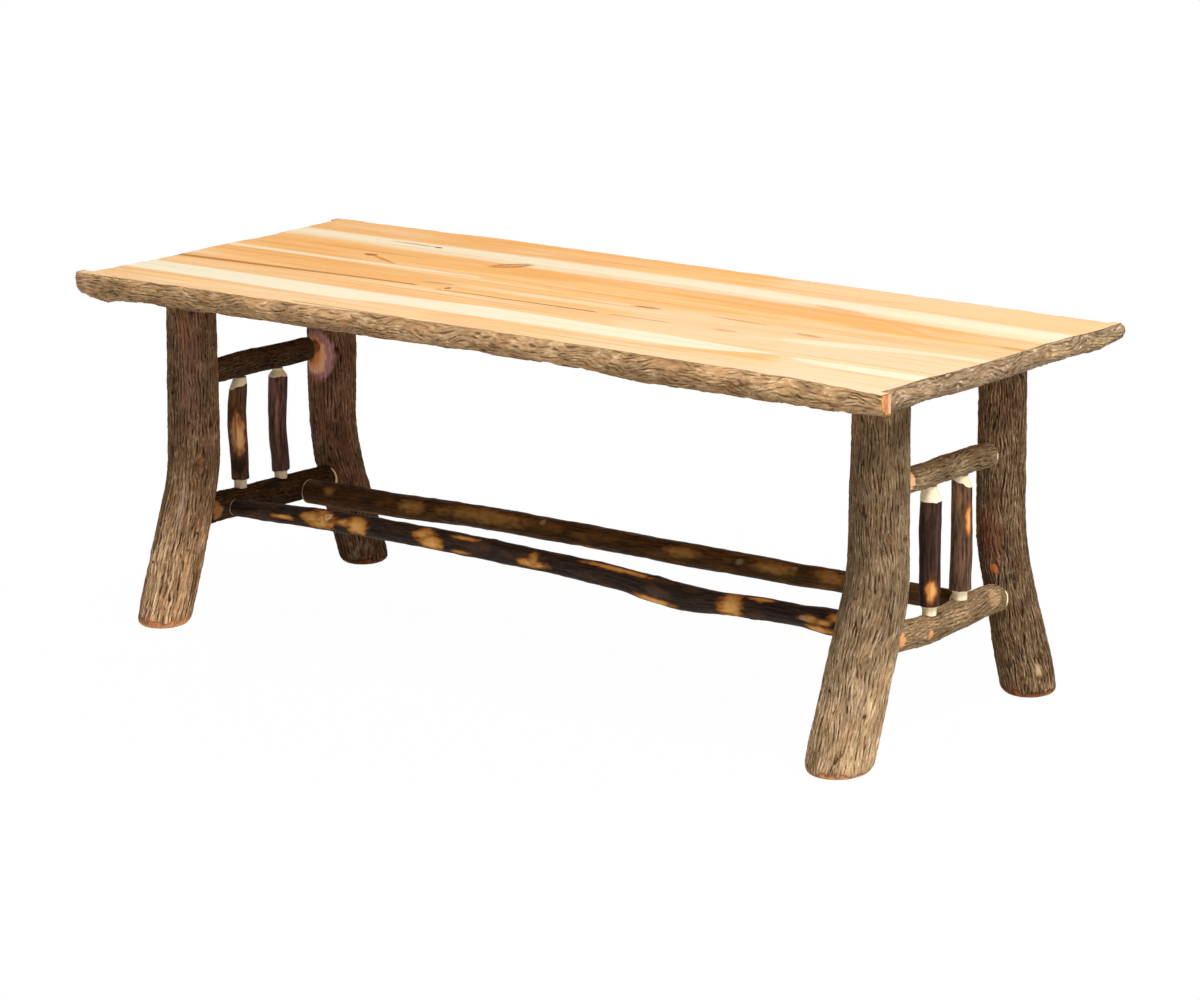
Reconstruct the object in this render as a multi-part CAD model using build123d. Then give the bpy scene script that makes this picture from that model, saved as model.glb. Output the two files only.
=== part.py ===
from build123d import *
import math
import os
from dataclasses import dataclass

# Rustic table of bark-on hickory logs with a glued plank top.
# Millimetres. +X runs along the top, +Y to the back and +Z up.
# The origin is on the floor, under the middle of the top.

# ---------------------------------------------------------------- plank top
TOP_LENGTH = 1219.2
TOP_HEIGHT = 457.2
BOARD_THICKNESS = 19.0
FRONT_BOARD_WIDTH = 109.0
SECOND_BOARD_WIDTH = 64.0
MIDDLE_BOARD_WIDTH = 85.0
WIDE_BOARD_WIDTH = 146.0
BACK_BOARD_WIDTH = 64.0
ARRIS_CHAMFER = 0.3

# ------------------------------------------- half logs around the plank top
LONG_LOG_REACH = 20.0
BACK_LOG_REACH = 31.0
END_LOG_REACH = 20.0
LOG_END_ROUND = 4.0
# The front log stands out a little at its left end, and the right log runs on behind the back log's end.
FRONT_LOG_EXTRA = 9.0
RIGHT_LOG_EXTRA = 33.0

# Stations of a half log: (share of its length, bark line's reach, height).
FRONT_LOG = [
    (0.00, 19.0, 30.0), (0.03, 19.0, 34.5), (0.11, 16.0, 33.0), (0.23, 14.0, 29.0), (0.40, 8.0, 28.0),
    (0.55, 7.0, 26.5), (0.66, 6.0, 27.0), (0.72, 8.0, 31.5), (0.86, 7.0, 30.5), (0.93, 12.0, 30.5),
    (1.00, 18.0, 28.0),
]
BACK_LOG = [
    (0.00, 28.0, 28.0), (0.20, 29.0, 30.0), (0.40, 29.5, 28.0), (0.55, 29.0, 31.0), (0.70, 29.5, 29.0),
    (0.79, 28.5, 28.5), (0.85, 22.5, 29.5), (0.92, 18.5, 29.0), (1.00, 17.0, 29.0),
]
LEFT_LOG = [
    (0.00, 16.0, 32.0), (0.25, 11.0, 29.0), (0.50, 13.0, 28.0), (0.75, 9.0, 30.0), (1.00, 15.0, 28.0),
]
RIGHT_LOG = [
    (0.00, 10.0, 27.0), (0.12, 8.0, 27.5), (0.31, 12.0, 28.5), (0.51, 13.0, 28.0), (0.67, 11.0, 27.0),
    (0.82, 15.0, 28.0), (0.94, 17.0, 28.0), (1.00, 17.0, 23.0),
]

# ---------------------------------------------------------------- end frames
END_OVERHANG = 84.6
FOOT_ROUND = 12.0
CUT_MARGIN = 25.0

# The upper rails hang this far under the cleats, and the lower rails stand this far over the floor.
UPPER_RAIL_DROP = 106.2
LOWER_RAIL_HEIGHT = 134.0

# Stations of a rail or stretcher: (share of its length, lift, thickness).
LEFT_UPPER_RAIL = [(0.00, 0.0, 32.0), (0.35, 1.0, 33.0), (0.70, -0.5, 32.0), (1.00, 0.0, 31.5)]
RIGHT_UPPER_RAIL = [(0.00, 0.0, 31.0), (0.30, -0.5, 31.0), (0.75, 1.0, 31.5), (1.00, 0.0, 30.5)]
LEFT_LOWER_RAIL = [
    (0.00, 2.0, 38.5), (0.12, 3.0, 39.0), (0.45, 1.0, 39.0), (0.85, 0.0, 38.5), (1.00, 0.0, 38.0),
]
RIGHT_LOWER_RAIL = [
    (0.00, 0.0, 36.0), (0.15, -1.5, 36.0), (0.32, -5.0, 35.5), (0.50, -3.0, 36.5), (0.67, 0.0, 37.5),
    (0.88, 3.0, 37.0), (1.00, 2.0, 36.5),
]
FRONT_STRETCHER = [
    (0.00, -1.5, 22.0), (0.06, 1.5, 24.5), (0.12, 5.0, 26.5), (0.28, 8.5, 28.0), (0.50, 7.5, 28.0),
    (0.60, 5.0, 29.5), (0.65, 1.5, 31.5), (0.69, -3.0, 33.5), (0.75, -3.0, 29.5), (0.83, 1.5, 28.0),
    (0.93, 1.5, 27.0), (1.00, 0.5, 26.0),
]
BACK_STRETCHER = [
    (0.00, -4.5, 32.0), (0.07, -3.5, 33.0), (0.17, -1.5, 32.0), (0.28, 3.0, 31.0), (0.50, 3.5, 30.0),
    (0.75, 3.5, 29.0), (0.88, 5.5, 28.0), (1.00, 6.0, 27.0),
]
FRONT_STRETCHER_Y = -83.0
BACK_STRETCHER_Y = 64.0

# Stations of a spindle: (share of its length, sideways bend, thickness).
LEFT_FRONT_SPINDLE = [(0.00, 0.0, 23.5), (0.30, -2.0, 25.0), (0.70, -5.0, 25.5), (1.00, -1.0, 24.0)]
LEFT_BACK_SPINDLE = [(0.00, 3.0, 24.0), (0.45, -2.0, 24.5), (1.00, 0.0, 25.5)]
RIGHT_FRONT_SPINDLE = [(0.00, 0.5, 25.5), (0.50, 0.0, 26.0), (1.00, 0.0, 26.5)]
RIGHT_BACK_SPINDLE = [(0.00, 0.0, 26.5), (0.40, 1.0, 26.5), (1.00, 0.0, 25.5)]
LEFT_FRONT_SPINDLE_Y = -51.0
LEFT_BACK_SPINDLE_Y = 25.0
RIGHT_FRONT_SPINDLE_Y = -21.0
RIGHT_BACK_SPINDLE_Y = 45.0

# ------------------------------------------------------------ tenons and fit
GLUE_GAP = 0.1
MORTISE_END_GAP = 1.5
SEAT_DEPTH = 3.0
SEAT_MARGIN = 1.0
SHOULDER_ROUND = 4.5
STRETCHER_SHOULDER_ROUND = 2.25
RAIL_TENON_THICKNESS = 22.0
RAIL_TENON_LENGTH = 32.0
STRETCHER_TENON_THICKNESS = 15.0
STRETCHER_TENON_LENGTH = 19.0
SPINDLE_TENON_THICKNESS = 14.0
SPINDLE_TENON_LENGTH = 15.0
CONE_STANDOFF = 1.2
LOWER_NECK_THICKNESS = 17.0
LOWER_NECK_LENGTH = 9.0
LOWER_BEVEL = 2.5
UPPER_CONE_LENGTH = 12.0

# -------------------------------------------------- cleats under the planks
CLEAT_THICKNESS = 16.0
CLEAT_WIDTH = 70.0
BATTEN_WIDTH = 60.0
CLEAT_END_MARGIN = 18.0

# ----------------------------------------------------------------- hardware
LAG_SHANK = 8.0
LAG_LENGTH = 70.0
LAG_HEAD_WIDTH = 13.0
LAG_HEAD_THICKNESS = 5.0
LAG_HEAD_RECESS = 17.0
LAG_HEAD_DEPTH = 6.0

SCREW_SHANK = 4.2
SCREW_BITE = 14.0
SCREW_HEAD = 9.0
SCREW_HEAD_THICKNESS = 2.5
SCREW_SLOT_LENGTH = 9.0
SCREW_SLOT_WIDTH = 5.0
SCREW_TO_LEG = 9.0
SCREW_INNER_SPACING = 96.0

NAIL_SHANK = 2.8
NAIL_HEAD = 4.0
NAIL_HEAD_THICKNESS = 1.2
NAIL_POINT = 4.0
NAIL_SET = 3.5
EDGE_NAIL_SET = 4.0
RAIL_NAIL_LENGTH = 46.0
STRETCHER_NAIL_LENGTH = 28.0
EDGE_NAIL_BITE = 18.0
LONG_LOG_NAILS = 7
END_LOG_NAILS = 3
EDGE_NAIL_MARGIN = 45.0
HOLE_GAP = 0.1
TIP_SHARE = 0.2

# ------------------------------------- how finely the bent logs are drawn
LEG_SECTIONS = 13
RAIL_SECTIONS = 9
STRETCHER_SECTIONS = 25
SPINDLE_SECTIONS = 6
HALF_LOG_SECTIONS = 25
OUTLINE_POINTS = 12
AXIS_STEP = 1.0

# --------------------------------------------------------- worked-out sizes
BOARD_WIDTHS = [FRONT_BOARD_WIDTH, SECOND_BOARD_WIDTH, MIDDLE_BOARD_WIDTH, WIDE_BOARD_WIDTH,
                BACK_BOARD_WIDTH]
BOARD_NAMES = ["front_board", "second_board", "middle_board", "wide_board", "back_board"]
PANEL_WIDTH = sum(BOARD_WIDTHS)
PANEL_LENGTH = TOP_LENGTH - 2 * END_LOG_REACH
BOARD_UNDERSIDE = TOP_HEIGHT - BOARD_THICKNESS
CLEAT_UNDERSIDE = BOARD_UNDERSIDE - CLEAT_THICKNESS
UPPER_RAIL_HEIGHT = CLEAT_UNDERSIDE - UPPER_RAIL_DROP
FRAME_X = TOP_LENGTH / 2 - END_OVERHANG


@dataclass
class Leg:
    """A log that stands upright to its knee and then kicks outwards to its foot."""

    name: str
    side_x: int
    side_y: int
    top_y: float
    knee_height: float
    kick_degrees: float
    knee_reach: float
    foot_drift: float
    thickness: list


LEGS = [
    Leg("front_left_leg", -1, -1, 138.0, 190.0, 17.0, 40.0, -7.0,
        [(0, 70), (55, 71), (144, 69), (267, 68), (392, 65)]),
    Leg("front_right_leg", 1, -1, 127.5, 204.0, 22.8, 40.0, 4.0,
        [(0, 79), (39, 81), (130, 79), (190, 78), (252, 72), (308, 72), (392, 69)]),
    Leg("back_left_leg", -1, 1, 133.0, 183.0, 24.7, 55.0, -17.0,
        [(0, 64), (47, 66), (118, 65), (203, 63), (286, 67), (392, 64)]),
    Leg("back_right_leg", 1, 1, 130.0, 208.0, 20.6, 45.0, -2.0,
        [(0, 69), (56, 69), (88, 66), (136, 63), (230, 61), (392, 59)]),
]


@dataclass
class Rail:
    """A log across one end frame, seated on a front leg and a back leg."""

    name: str
    side_x: int
    height: float
    stations: list


UPPER_RAILS = [Rail("left_upper_rail", -1, UPPER_RAIL_HEIGHT, LEFT_UPPER_RAIL),
               Rail("right_upper_rail", 1, UPPER_RAIL_HEIGHT, RIGHT_UPPER_RAIL)]
LOWER_RAILS = [Rail("left_lower_rail", -1, LOWER_RAIL_HEIGHT, LEFT_LOWER_RAIL),
               Rail("right_lower_rail", 1, LOWER_RAIL_HEIGHT, RIGHT_LOWER_RAIL)]


@dataclass
class Spindle:
    """A short upright stick between the two rails of an end frame."""

    name: str
    side_x: int
    y: float
    stations: list


SPINDLES = [
    Spindle("left_front_spindle", -1, LEFT_FRONT_SPINDLE_Y, LEFT_FRONT_SPINDLE),
    Spindle("left_back_spindle", -1, LEFT_BACK_SPINDLE_Y, LEFT_BACK_SPINDLE),
    Spindle("right_front_spindle", 1, RIGHT_FRONT_SPINDLE_Y, RIGHT_FRONT_SPINDLE),
    Spindle("right_back_spindle", 1, RIGHT_BACK_SPINDLE_Y, RIGHT_BACK_SPINDLE),
]


@dataclass
class Stretcher:
    """A long log between the lower rails of the two end frames."""

    name: str
    y: float
    stations: list


STRETCHERS = [Stretcher("front_stretcher", FRONT_STRETCHER_Y, FRONT_STRETCHER),
              Stretcher("back_stretcher", BACK_STRETCHER_Y, BACK_STRETCHER)]


# ------------------------------------------------------------------ helpers
def smooth(stations, place, column=1):
    """Value at a place, on a smooth curve through the stations' values."""
    places = [station[0] for station in stations]
    values = [station[column] for station in stations]
    if place <= places[0]:
        return values[0]
    if place >= places[-1]:
        return values[-1]
    after = next(index for index, at in enumerate(places) if at > place)
    before = after - 1
    span = places[after] - places[before]

    def slope(index):
        if index in (0, len(places) - 1):
            return 0.0
        return (values[index + 1] - values[index - 1]) / (places[index + 1] - places[index - 1])

    t = (place - places[before]) / span
    start = (1 + 2 * t) * (1 - t) ** 2 * values[before] + t * (1 - t) ** 2 * span * slope(before)
    end = t * t * (3 - 2 * t) * values[after] - t * t * (1 - t) * span * slope(after)
    return start + end


def shares(count):
    """Evenly spaced numbers from 0 to 1."""
    return [index / (count - 1) for index in range(count)]


def rod(start, direction, thickness, length):
    """A round rod from a point, along a direction."""
    plane = Plane(origin=start, z_dir=direction)
    return plane * Cylinder(thickness / 2, length, align=(Align.CENTER, Align.CENTER, Align.MIN))


def round_log(centres, thicknesses, main_direction, side_direction):
    """A round log through its centres; its two ends are cut square to the main direction."""
    sections = []
    last = len(centres) - 1
    for index, (centre, thickness) in enumerate(zip(centres, thicknesses)):
        if index in (0, last):
            direction = Vector(main_direction)
        else:
            direction = Vector(centres[index + 1]) - Vector(centres[index - 1])
        plane = Plane(origin=centre, x_dir=side_direction, z_dir=direction)
        sections.append(plane * Circle(thickness / 2))
    return loft(sections)


def round_ends(log, axis, radius):
    """Round the edges of a log's two end faces."""
    ends = log.faces().sort_by(axis)
    return fillet(ends[0].edges() + ends[-1].edges(), radius)


def single(shape):
    """The one solid of a shape, so that every node is a plain solid."""
    solids = shape.solids()
    if len(solids) != 1:
        raise ValueError(f"expected one solid, found {len(solids)}")
    return solids[0]


# --------------------------------------------------------------------- legs
def splay(leg, z):
    """How far the leg's axis has moved outwards at a height, and its slope there."""
    steepness = math.tan(math.radians(leg.kick_degrees))
    below_knee = leg.knee_height - z
    if below_knee <= -leg.knee_reach:
        return 0.0, 0.0
    if below_knee >= leg.knee_reach:
        return steepness * below_knee, steepness
    into_bend = below_knee + leg.knee_reach
    return steepness * into_bend ** 2 / (4 * leg.knee_reach), steepness * into_bend / (2 * leg.knee_reach)


def leg_axis(leg, z):
    """The leg's centre at a height."""
    outwards, _ = splay(leg, z)
    at_floor, _ = splay(leg, 0.0)
    x = leg.side_x * FRAME_X + leg.foot_drift * outwards / at_floor
    return Vector(x, leg.side_y * (leg.top_y + outwards), z)


def seat_y(leg, z):
    """The plane of a rail's seat on the leg: a little inside the leg's face towards the middle."""
    _, slope = splay(leg, z)
    face = leg_axis(leg, z).Y - leg.side_y * smooth(leg.thickness, z) / 2 * math.hypot(1, slope)
    return face + leg.side_y * SEAT_DEPTH


def make_leg(leg):
    """The bare leg: a curved log cut flat for the floor and the cleat, with a rounded foot."""
    height = CLEAT_UNDERSIDE + 2 * CUT_MARGIN
    heights = [share * height - CUT_MARGIN for share in shares(LEG_SECTIONS)]
    sections = []
    for z in heights:
        centre = leg_axis(leg, z)
        below = leg_axis(leg, z - AXIS_STEP)
        plane = Plane(origin=centre, x_dir=(1, 0, 0), z_dir=centre - below)
        sections.append(plane * Circle(smooth(leg.thickness, z) / 2))
    log = split(loft(sections), bisect_by=Plane.XY, keep=Keep.TOP)
    log = split(log, bisect_by=Plane.XY.offset(CLEAT_UNDERSIDE), keep=Keep.BOTTOM)
    sole = log.faces().sort_by(Axis.Z)[0]
    return fillet(sole.edges(), FOOT_ROUND)


def legs_of(side_x):
    """The front and the back leg of one end frame."""
    return [leg for leg in LEGS if leg.side_x == side_x]


# ------------------------------------------------------- rails of the frames
def rail_ends(rail):
    """The two seat planes that the rail's shoulders stand on."""
    front, back = legs_of(rail.side_x)
    return seat_y(front, rail.height), seat_y(back, rail.height)


def rail_centre(rail, y):
    """The rail's centre at a place between its seats."""
    front, back = rail_ends(rail)
    share = (y - front) / (back - front)
    return Vector(rail.side_x * FRAME_X, y, rail.height + smooth(rail.stations, share))


def rail_thickness(rail, y):
    """The rail's thickness at a place between its seats."""
    front, back = rail_ends(rail)
    return smooth(rail.stations, (y - front) / (back - front), column=2)


def make_rail(rail):
    """A rail with rounded shoulders and a tenon at each end."""
    front, back = rail_ends(rail)
    places = [front + share * (back - front) for share in shares(RAIL_SECTIONS)]
    centres = [rail_centre(rail, y) for y in places]
    log = round_log(centres, [rail_thickness(rail, y) for y in places], (0, 1, 0), (1, 0, 0))
    log = round_ends(log, Axis.Y, SHOULDER_ROUND)
    for end, side_y in ((centres[0], -1), (centres[-1], 1)):
        log += rod(end, (0, side_y, 0), RAIL_TENON_THICKNESS, RAIL_TENON_LENGTH)
    return log


def rail_socket(rail, leg):
    """What a rail's end takes out of a leg: a flat seat and the mortise behind it."""
    front, back = rail_ends(rail)
    y = front if leg.side_y < 0 else back
    seat = rail_centre(rail, y)
    inwards = (0, -leg.side_y, 0)
    shoulder = rail_thickness(rail, y) + 2 * SEAT_MARGIN
    tenon = RAIL_TENON_THICKNESS + 2 * GLUE_GAP
    mortise = rod(seat, (0, leg.side_y, 0), tenon, RAIL_TENON_LENGTH + MORTISE_END_GAP)
    return rod(seat, inwards, shoulder, smooth(leg.thickness, rail.height)) + mortise


# --------------------------------------------------------------- stretchers
def stretcher_seat(stretcher, rail):
    """The centre of a stretcher's shoulder on a lower rail."""
    centre = rail_centre(rail, stretcher.y)
    inner_face = rail_thickness(rail, stretcher.y) / 2 - SEAT_DEPTH
    end = stretcher.stations[0] if rail.side_x < 0 else stretcher.stations[-1]
    return Vector(centre.X - rail.side_x * inner_face, stretcher.y, centre.Z + end[1])


def stretcher_shape(stretcher):
    """Centres and thicknesses of a stretcher, from its left seat to its right one."""
    left = stretcher_seat(stretcher, LOWER_RAILS[0])
    right = stretcher_seat(stretcher, LOWER_RAILS[1])
    first_lift = stretcher.stations[0][1]
    last_lift = stretcher.stations[-1][1]
    centres = []
    for share in shares(STRETCHER_SECTIONS):
        straight = left + (right - left) * share
        lift = smooth(stretcher.stations, share) - first_lift * (1 - share) - last_lift * share
        centres.append(straight + Vector(0, 0, lift))
    return centres, [smooth(stretcher.stations, share, column=2) for share in shares(STRETCHER_SECTIONS)]


def make_stretcher(stretcher):
    """A stretcher with rounded shoulders and a tenon at each end."""
    centres, thicknesses = stretcher_shape(stretcher)
    log = round_log(centres, thicknesses, (1, 0, 0), (0, 1, 0))
    log = round_ends(log, Axis.X, STRETCHER_SHOULDER_ROUND)
    for end, side_x in ((centres[0], -1), (centres[-1], 1)):
        log += rod(end, (side_x, 0, 0), STRETCHER_TENON_THICKNESS, STRETCHER_TENON_LENGTH)
    return log


def stretcher_socket(stretcher, rail):
    """The flat seat and the mortise that a stretcher's end takes out of a lower rail."""
    seat = stretcher_seat(stretcher, rail)
    end = stretcher.stations[0] if rail.side_x < 0 else stretcher.stations[-1]
    shoulder = end[2] + 2 * SEAT_MARGIN
    tenon = STRETCHER_TENON_THICKNESS + 2 * GLUE_GAP
    mortise = rod(seat, (rail.side_x, 0, 0), tenon, STRETCHER_TENON_LENGTH + MORTISE_END_GAP)
    return rod(seat, (-rail.side_x, 0, 0), shoulder, rail_thickness(rail, stretcher.y)) + mortise


# ----------------------------------------------------------------- spindles
def spindle_ends(spindle):
    """The small ends of a spindle's cones, just clear of the lower and the upper rail."""
    index = 0 if spindle.side_x < 0 else 1
    lower = LOWER_RAILS[index]
    upper = UPPER_RAILS[index]
    to_bottom = rail_thickness(lower, spindle.y) / 2 + CONE_STANDOFF
    to_top = rail_thickness(upper, spindle.y) / 2 + CONE_STANDOFF
    bottom = rail_centre(lower, spindle.y) + Vector(0, 0, to_bottom)
    top = rail_centre(upper, spindle.y) - Vector(0, 0, to_top)
    return bottom, top


def make_spindle(spindle):
    """A slightly bent stick with a straight neck under it, a cone over it and a tenon at each end."""
    bottom, top = spindle_ends(spindle)
    body_bottom = bottom.Z + LOWER_NECK_LENGTH
    body_top = top.Z - UPPER_CONE_LENGTH
    centres = []
    for share in shares(SPINDLE_SECTIONS):
        bend = smooth(spindle.stations, share)
        centres.append(Vector(bottom.X, spindle.y + bend, body_bottom + share * (body_top - body_bottom)))
    thicknesses = [smooth(spindle.stations, share, column=2) for share in shares(SPINDLE_SECTIONS)]
    stick = round_log(centres, thicknesses, (0, 0, 1), (1, 0, 0))
    shoulder = bottom + Vector(0, 0, LOWER_NECK_LENGTH - LOWER_BEVEL)
    for tip, end, width in ((shoulder, 0, LOWER_NECK_THICKNESS), (top, -1, SPINDLE_TENON_THICKNESS)):
        neck = Plane(origin=tip) * Circle(width / 2)
        stick += loft([neck, Plane(origin=centres[end]) * Circle(thicknesses[end] / 2)])
    stick += rod(bottom, (0, 0, 1), LOWER_NECK_THICKNESS, LOWER_NECK_LENGTH - LOWER_BEVEL)
    stick += rod(bottom, (0, 0, -1), SPINDLE_TENON_THICKNESS, SPINDLE_TENON_LENGTH)
    stick += rod(top, (0, 0, 1), SPINDLE_TENON_THICKNESS, SPINDLE_TENON_LENGTH)
    return stick


def spindle_mortises(spindle):
    """The mortise of a spindle in its lower rail, which it stands in, and in its upper rail."""
    bottom, top = spindle_ends(spindle)
    hole = SPINDLE_TENON_THICKNESS + 2 * GLUE_GAP
    floor = bottom - Vector(0, 0, SPINDLE_TENON_LENGTH)
    lower = rod(floor, (0, 0, 1), hole, SPINDLE_TENON_LENGTH + LOWER_NECK_LENGTH)
    depth = SPINDLE_TENON_LENGTH + MORTISE_END_GAP
    upper = rod(top - Vector(0, 0, UPPER_CONE_LENGTH), (0, 0, 1), hole, UPPER_CONE_LENGTH + depth)
    return lower, upper


# ---------------------------------------------------------------- plank top
def board_edges():
    """The front edge of each board, and the back edge of the last one."""
    edges = [-PANEL_WIDTH / 2]
    for width in BOARD_WIDTHS:
        edges.append(edges[-1] + width)
    return edges


def make_board(front_edge, width):
    """One plank with eased long edges on its upper face."""
    align = (Align.CENTER, Align.MIN, Align.MIN)
    board = Pos(0, front_edge, BOARD_UNDERSIDE) * Box(PANEL_LENGTH, width, BOARD_THICKNESS, align=align)
    upper = board.faces().sort_by(Axis.Z)[-1]
    return chamfer(upper.edges().filter_by(Axis.X), ARRIS_CHAMFER)


def half_log(length, reach, stations, rounded_ends=()):
    """A half log along X: flat on top, flat on its inner side at Y = 0, bark towards -Y.

    An end in rounded_ends, -1 or 1, has its outer corner rounded.
    """
    sections = []
    for share in shares(HALF_LOG_SECTIONS):
        flat_share = min(smooth(stations, share) / reach, 1.0)
        height = smooth(stations, share, column=2)
        rise = math.sqrt(1 - flat_share ** 2)
        half_height = height / (1 + rise)
        outline = []
        for step in range(OUTLINE_POINTS):
            turn = 2 * math.pi * step / OUTLINE_POINTS
            outline.append((reach * math.cos(turn), half_height * math.sin(turn)))
        centre = (-length / 2 + share * length, 0, -rise * half_height)
        plane = Plane(origin=centre, x_dir=(0, 1, 0), z_dir=(1, 0, 0))
        sections.append(plane * make_face(Spline(outline, periodic=True)))
    log = loft(sections)
    tallest = max(station[2] for station in stations) + CUT_MARGIN
    room = Box(length, reach, tallest, align=(Align.CENTER, Align.MAX, Align.MAX))
    outer_corners = room.edges().filter_by(Axis.Z).sort_by(Axis.Y)[:2]
    rounded = [corner for corner in outer_corners if math.copysign(1, corner.center().X) in rounded_ends]
    if rounded:
        room = fillet(rounded, LOG_END_ROUND)
    return single(log & room)


def place_half_log(log, turn, x, y):
    """Set a half log against the planks, with its flat top flush with theirs."""
    return Pos(x, y, TOP_HEIGHT) * Rot(0, 0, turn) * log


# -------------------------------------------------------------- under cleats
def leg_top_radius(leg):
    """Half the thickness of a leg where it meets the cleat."""
    return smooth(leg.thickness, CLEAT_UNDERSIDE) / 2


def outer_screw_y():
    """How far out the outer cleat screws stand: clear of every leg's top."""
    return max(leg.top_y + leg_top_radius(leg) for leg in LEGS) + SCREW_TO_LEG


def screw_places():
    """The Y of each screw of a cleat, the same on all of them."""
    outer = outer_screw_y()
    inner = SCREW_INNER_SPACING / 2
    return [-outer, -inner, inner, outer]


def make_cleat(x, width):
    """A flat bar under the planks, with slots that let the planks swell."""
    length = 2 * (outer_screw_y() + CLEAT_END_MARGIN)
    align = (Align.CENTER, Align.CENTER, Align.MIN)
    bar = Pos(x, 0, CLEAT_UNDERSIDE) * Box(width, length, CLEAT_THICKNESS, align=align)
    slot = extrude(SlotOverall(SCREW_SLOT_LENGTH, SCREW_SLOT_WIDTH, rotation=90), CLEAT_THICKNESS)
    for y in screw_places():
        bar -= Pos(x, y, CLEAT_UNDERSIDE) * slot
    return bar


def lag_seat(leg):
    """Where a lag screw's head sits, in the top of the cleat over a leg."""
    return Vector(leg.side_x * FRAME_X, leg.side_y * leg.top_y, BOARD_UNDERSIDE - LAG_HEAD_DEPTH)


def lag_hole(leg):
    """The recess and the pilot hole of a lag screw, through the cleat and into the leg."""
    seat = lag_seat(leg)
    recess = rod(seat, (0, 0, 1), LAG_HEAD_RECESS, LAG_HEAD_DEPTH)
    return recess + rod(seat, (0, 0, -1), LAG_SHANK + 2 * HOLE_GAP, LAG_LENGTH + MORTISE_END_GAP)


# ----------------------------------------------------------------- hardware
def pointed_pin(start, direction, thickness, length, point):
    """A round shank that ends in a point."""
    shank = rod(start, direction, thickness, length - point)
    tip_base = Vector(start) + Vector(direction) * (length - point)
    plane = Plane(origin=tip_base, z_dir=direction)
    align = (Align.CENTER, Align.CENTER, Align.MIN)
    return shank + plane * Cone(thickness / 2, TIP_SHARE * thickness / 2, point, align=align)


def lag_screw(leg):
    """A hexagon-headed screw that draws a leg up against its cleat."""
    seat = lag_seat(leg)
    hexagon = RegularPolygon(LAG_HEAD_WIDTH / 2, 6, major_radius=False)
    head = Plane(origin=seat) * extrude(hexagon, LAG_HEAD_THICKNESS)
    return head + pointed_pin(seat, (0, 0, -1), LAG_SHANK, LAG_LENGTH, LAG_SHANK)


def cleat_screw(x, y):
    """A pan-headed screw up through a cleat's slot into a plank."""
    seat = Vector(x, y, CLEAT_UNDERSIDE)
    head = rod(seat, (0, 0, -1), SCREW_HEAD, SCREW_HEAD_THICKNESS)
    head = fillet(head.faces().sort_by(Axis.Z)[0].edges(), SCREW_HEAD_THICKNESS / 2)
    return head + pointed_pin(seat, (0, 0, 1), SCREW_SHANK, CLEAT_THICKNESS + SCREW_BITE, SCREW_SHANK)


def cleat_screw_hole(x, y):
    """The pilot hole of a cleat screw in the planks."""
    depth = CLEAT_THICKNESS + SCREW_BITE + MORTISE_END_GAP
    return rod((x, y, CLEAT_UNDERSIDE), (0, 0, 1), SCREW_SHANK + 2 * HOLE_GAP, depth)


def nail(head_top, direction, length):
    """A finish nail; its head's outer face is at head_top."""
    head = rod(head_top, direction, NAIL_HEAD, NAIL_HEAD_THICKNESS)
    return head + pointed_pin(head_top, direction, NAIL_SHANK, length, NAIL_POINT)


def nail_hole(head_top, direction, length):
    """The hole that a sunk nail needs, open outwards from its head."""
    outwards = Vector(direction) * -1
    entry = rod(head_top, outwards, NAIL_HEAD + 2 * HOLE_GAP, LONG_LOG_REACH)
    head = rod(head_top, direction, NAIL_HEAD + 2 * HOLE_GAP, NAIL_HEAD_THICKNESS)
    return entry + head + rod(head_top, direction, NAIL_SHANK + 2 * HOLE_GAP, length + HOLE_GAP)


def rail_nail_places():
    """Head and direction of the nail through each rail's tenon, driven from the left."""
    places = []
    for rail in UPPER_RAILS + LOWER_RAILS:
        for leg, seat in zip(legs_of(rail.side_x), rail_ends(rail)):
            y = seat + leg.side_y * RAIL_TENON_LENGTH / 2
            axis = leg_axis(leg, rail.height)
            _, slope = splay(leg, rail.height)
            off_axis = abs(y - axis.Y) / math.hypot(1, slope)
            half_chord = math.sqrt((smooth(leg.thickness, rail.height) / 2) ** 2 - off_axis ** 2)
            height = rail_centre(rail, seat).Z
            places.append((leg, rail, Vector(axis.X - half_chord + NAIL_SET, y, height), (1, 0, 0)))
    return places


def stretcher_nail_places():
    """Head and direction of the nail up into each stretcher's tenon, from under the lower rail."""
    places = []
    for stretcher in STRETCHERS:
        for rail in LOWER_RAILS:
            centre = rail_centre(rail, stretcher.y)
            bottom = centre.Z - rail_thickness(rail, stretcher.y) / 2 + NAIL_SET
            places.append((stretcher, rail, Vector(centre.X, stretcher.y, bottom), (0, 0, 1)))
    return places


def edge_nail_places():
    """Head, direction and length of each nail through the half logs into the planks' edges."""
    places = []
    height = TOP_HEIGHT - BOARD_THICKNESS / 2
    for share in shares(LONG_LOG_NAILS):
        x = (share - 0.5) * (PANEL_LENGTH - 2 * EDGE_NAIL_MARGIN)
        for side_y, reach in ((-1, LONG_LOG_REACH), (1, BACK_LOG_REACH)):
            depth = reach - EDGE_NAIL_SET
            head_top = Vector(x, side_y * (PANEL_WIDTH / 2 + depth), height)
            places.append((head_top, (0, -side_y, 0), depth + EDGE_NAIL_BITE))
    for share in shares(END_LOG_NAILS):
        y = (share - 0.5) * (PANEL_WIDTH - 2 * EDGE_NAIL_MARGIN)
        for side_x in (-1, 1):
            depth = END_LOG_REACH - EDGE_NAIL_SET
            head_top = Vector(side_x * (PANEL_LENGTH / 2 + depth), y, height)
            places.append((head_top, (-side_x, 0, 0), depth + EDGE_NAIL_BITE))
    return places


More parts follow.
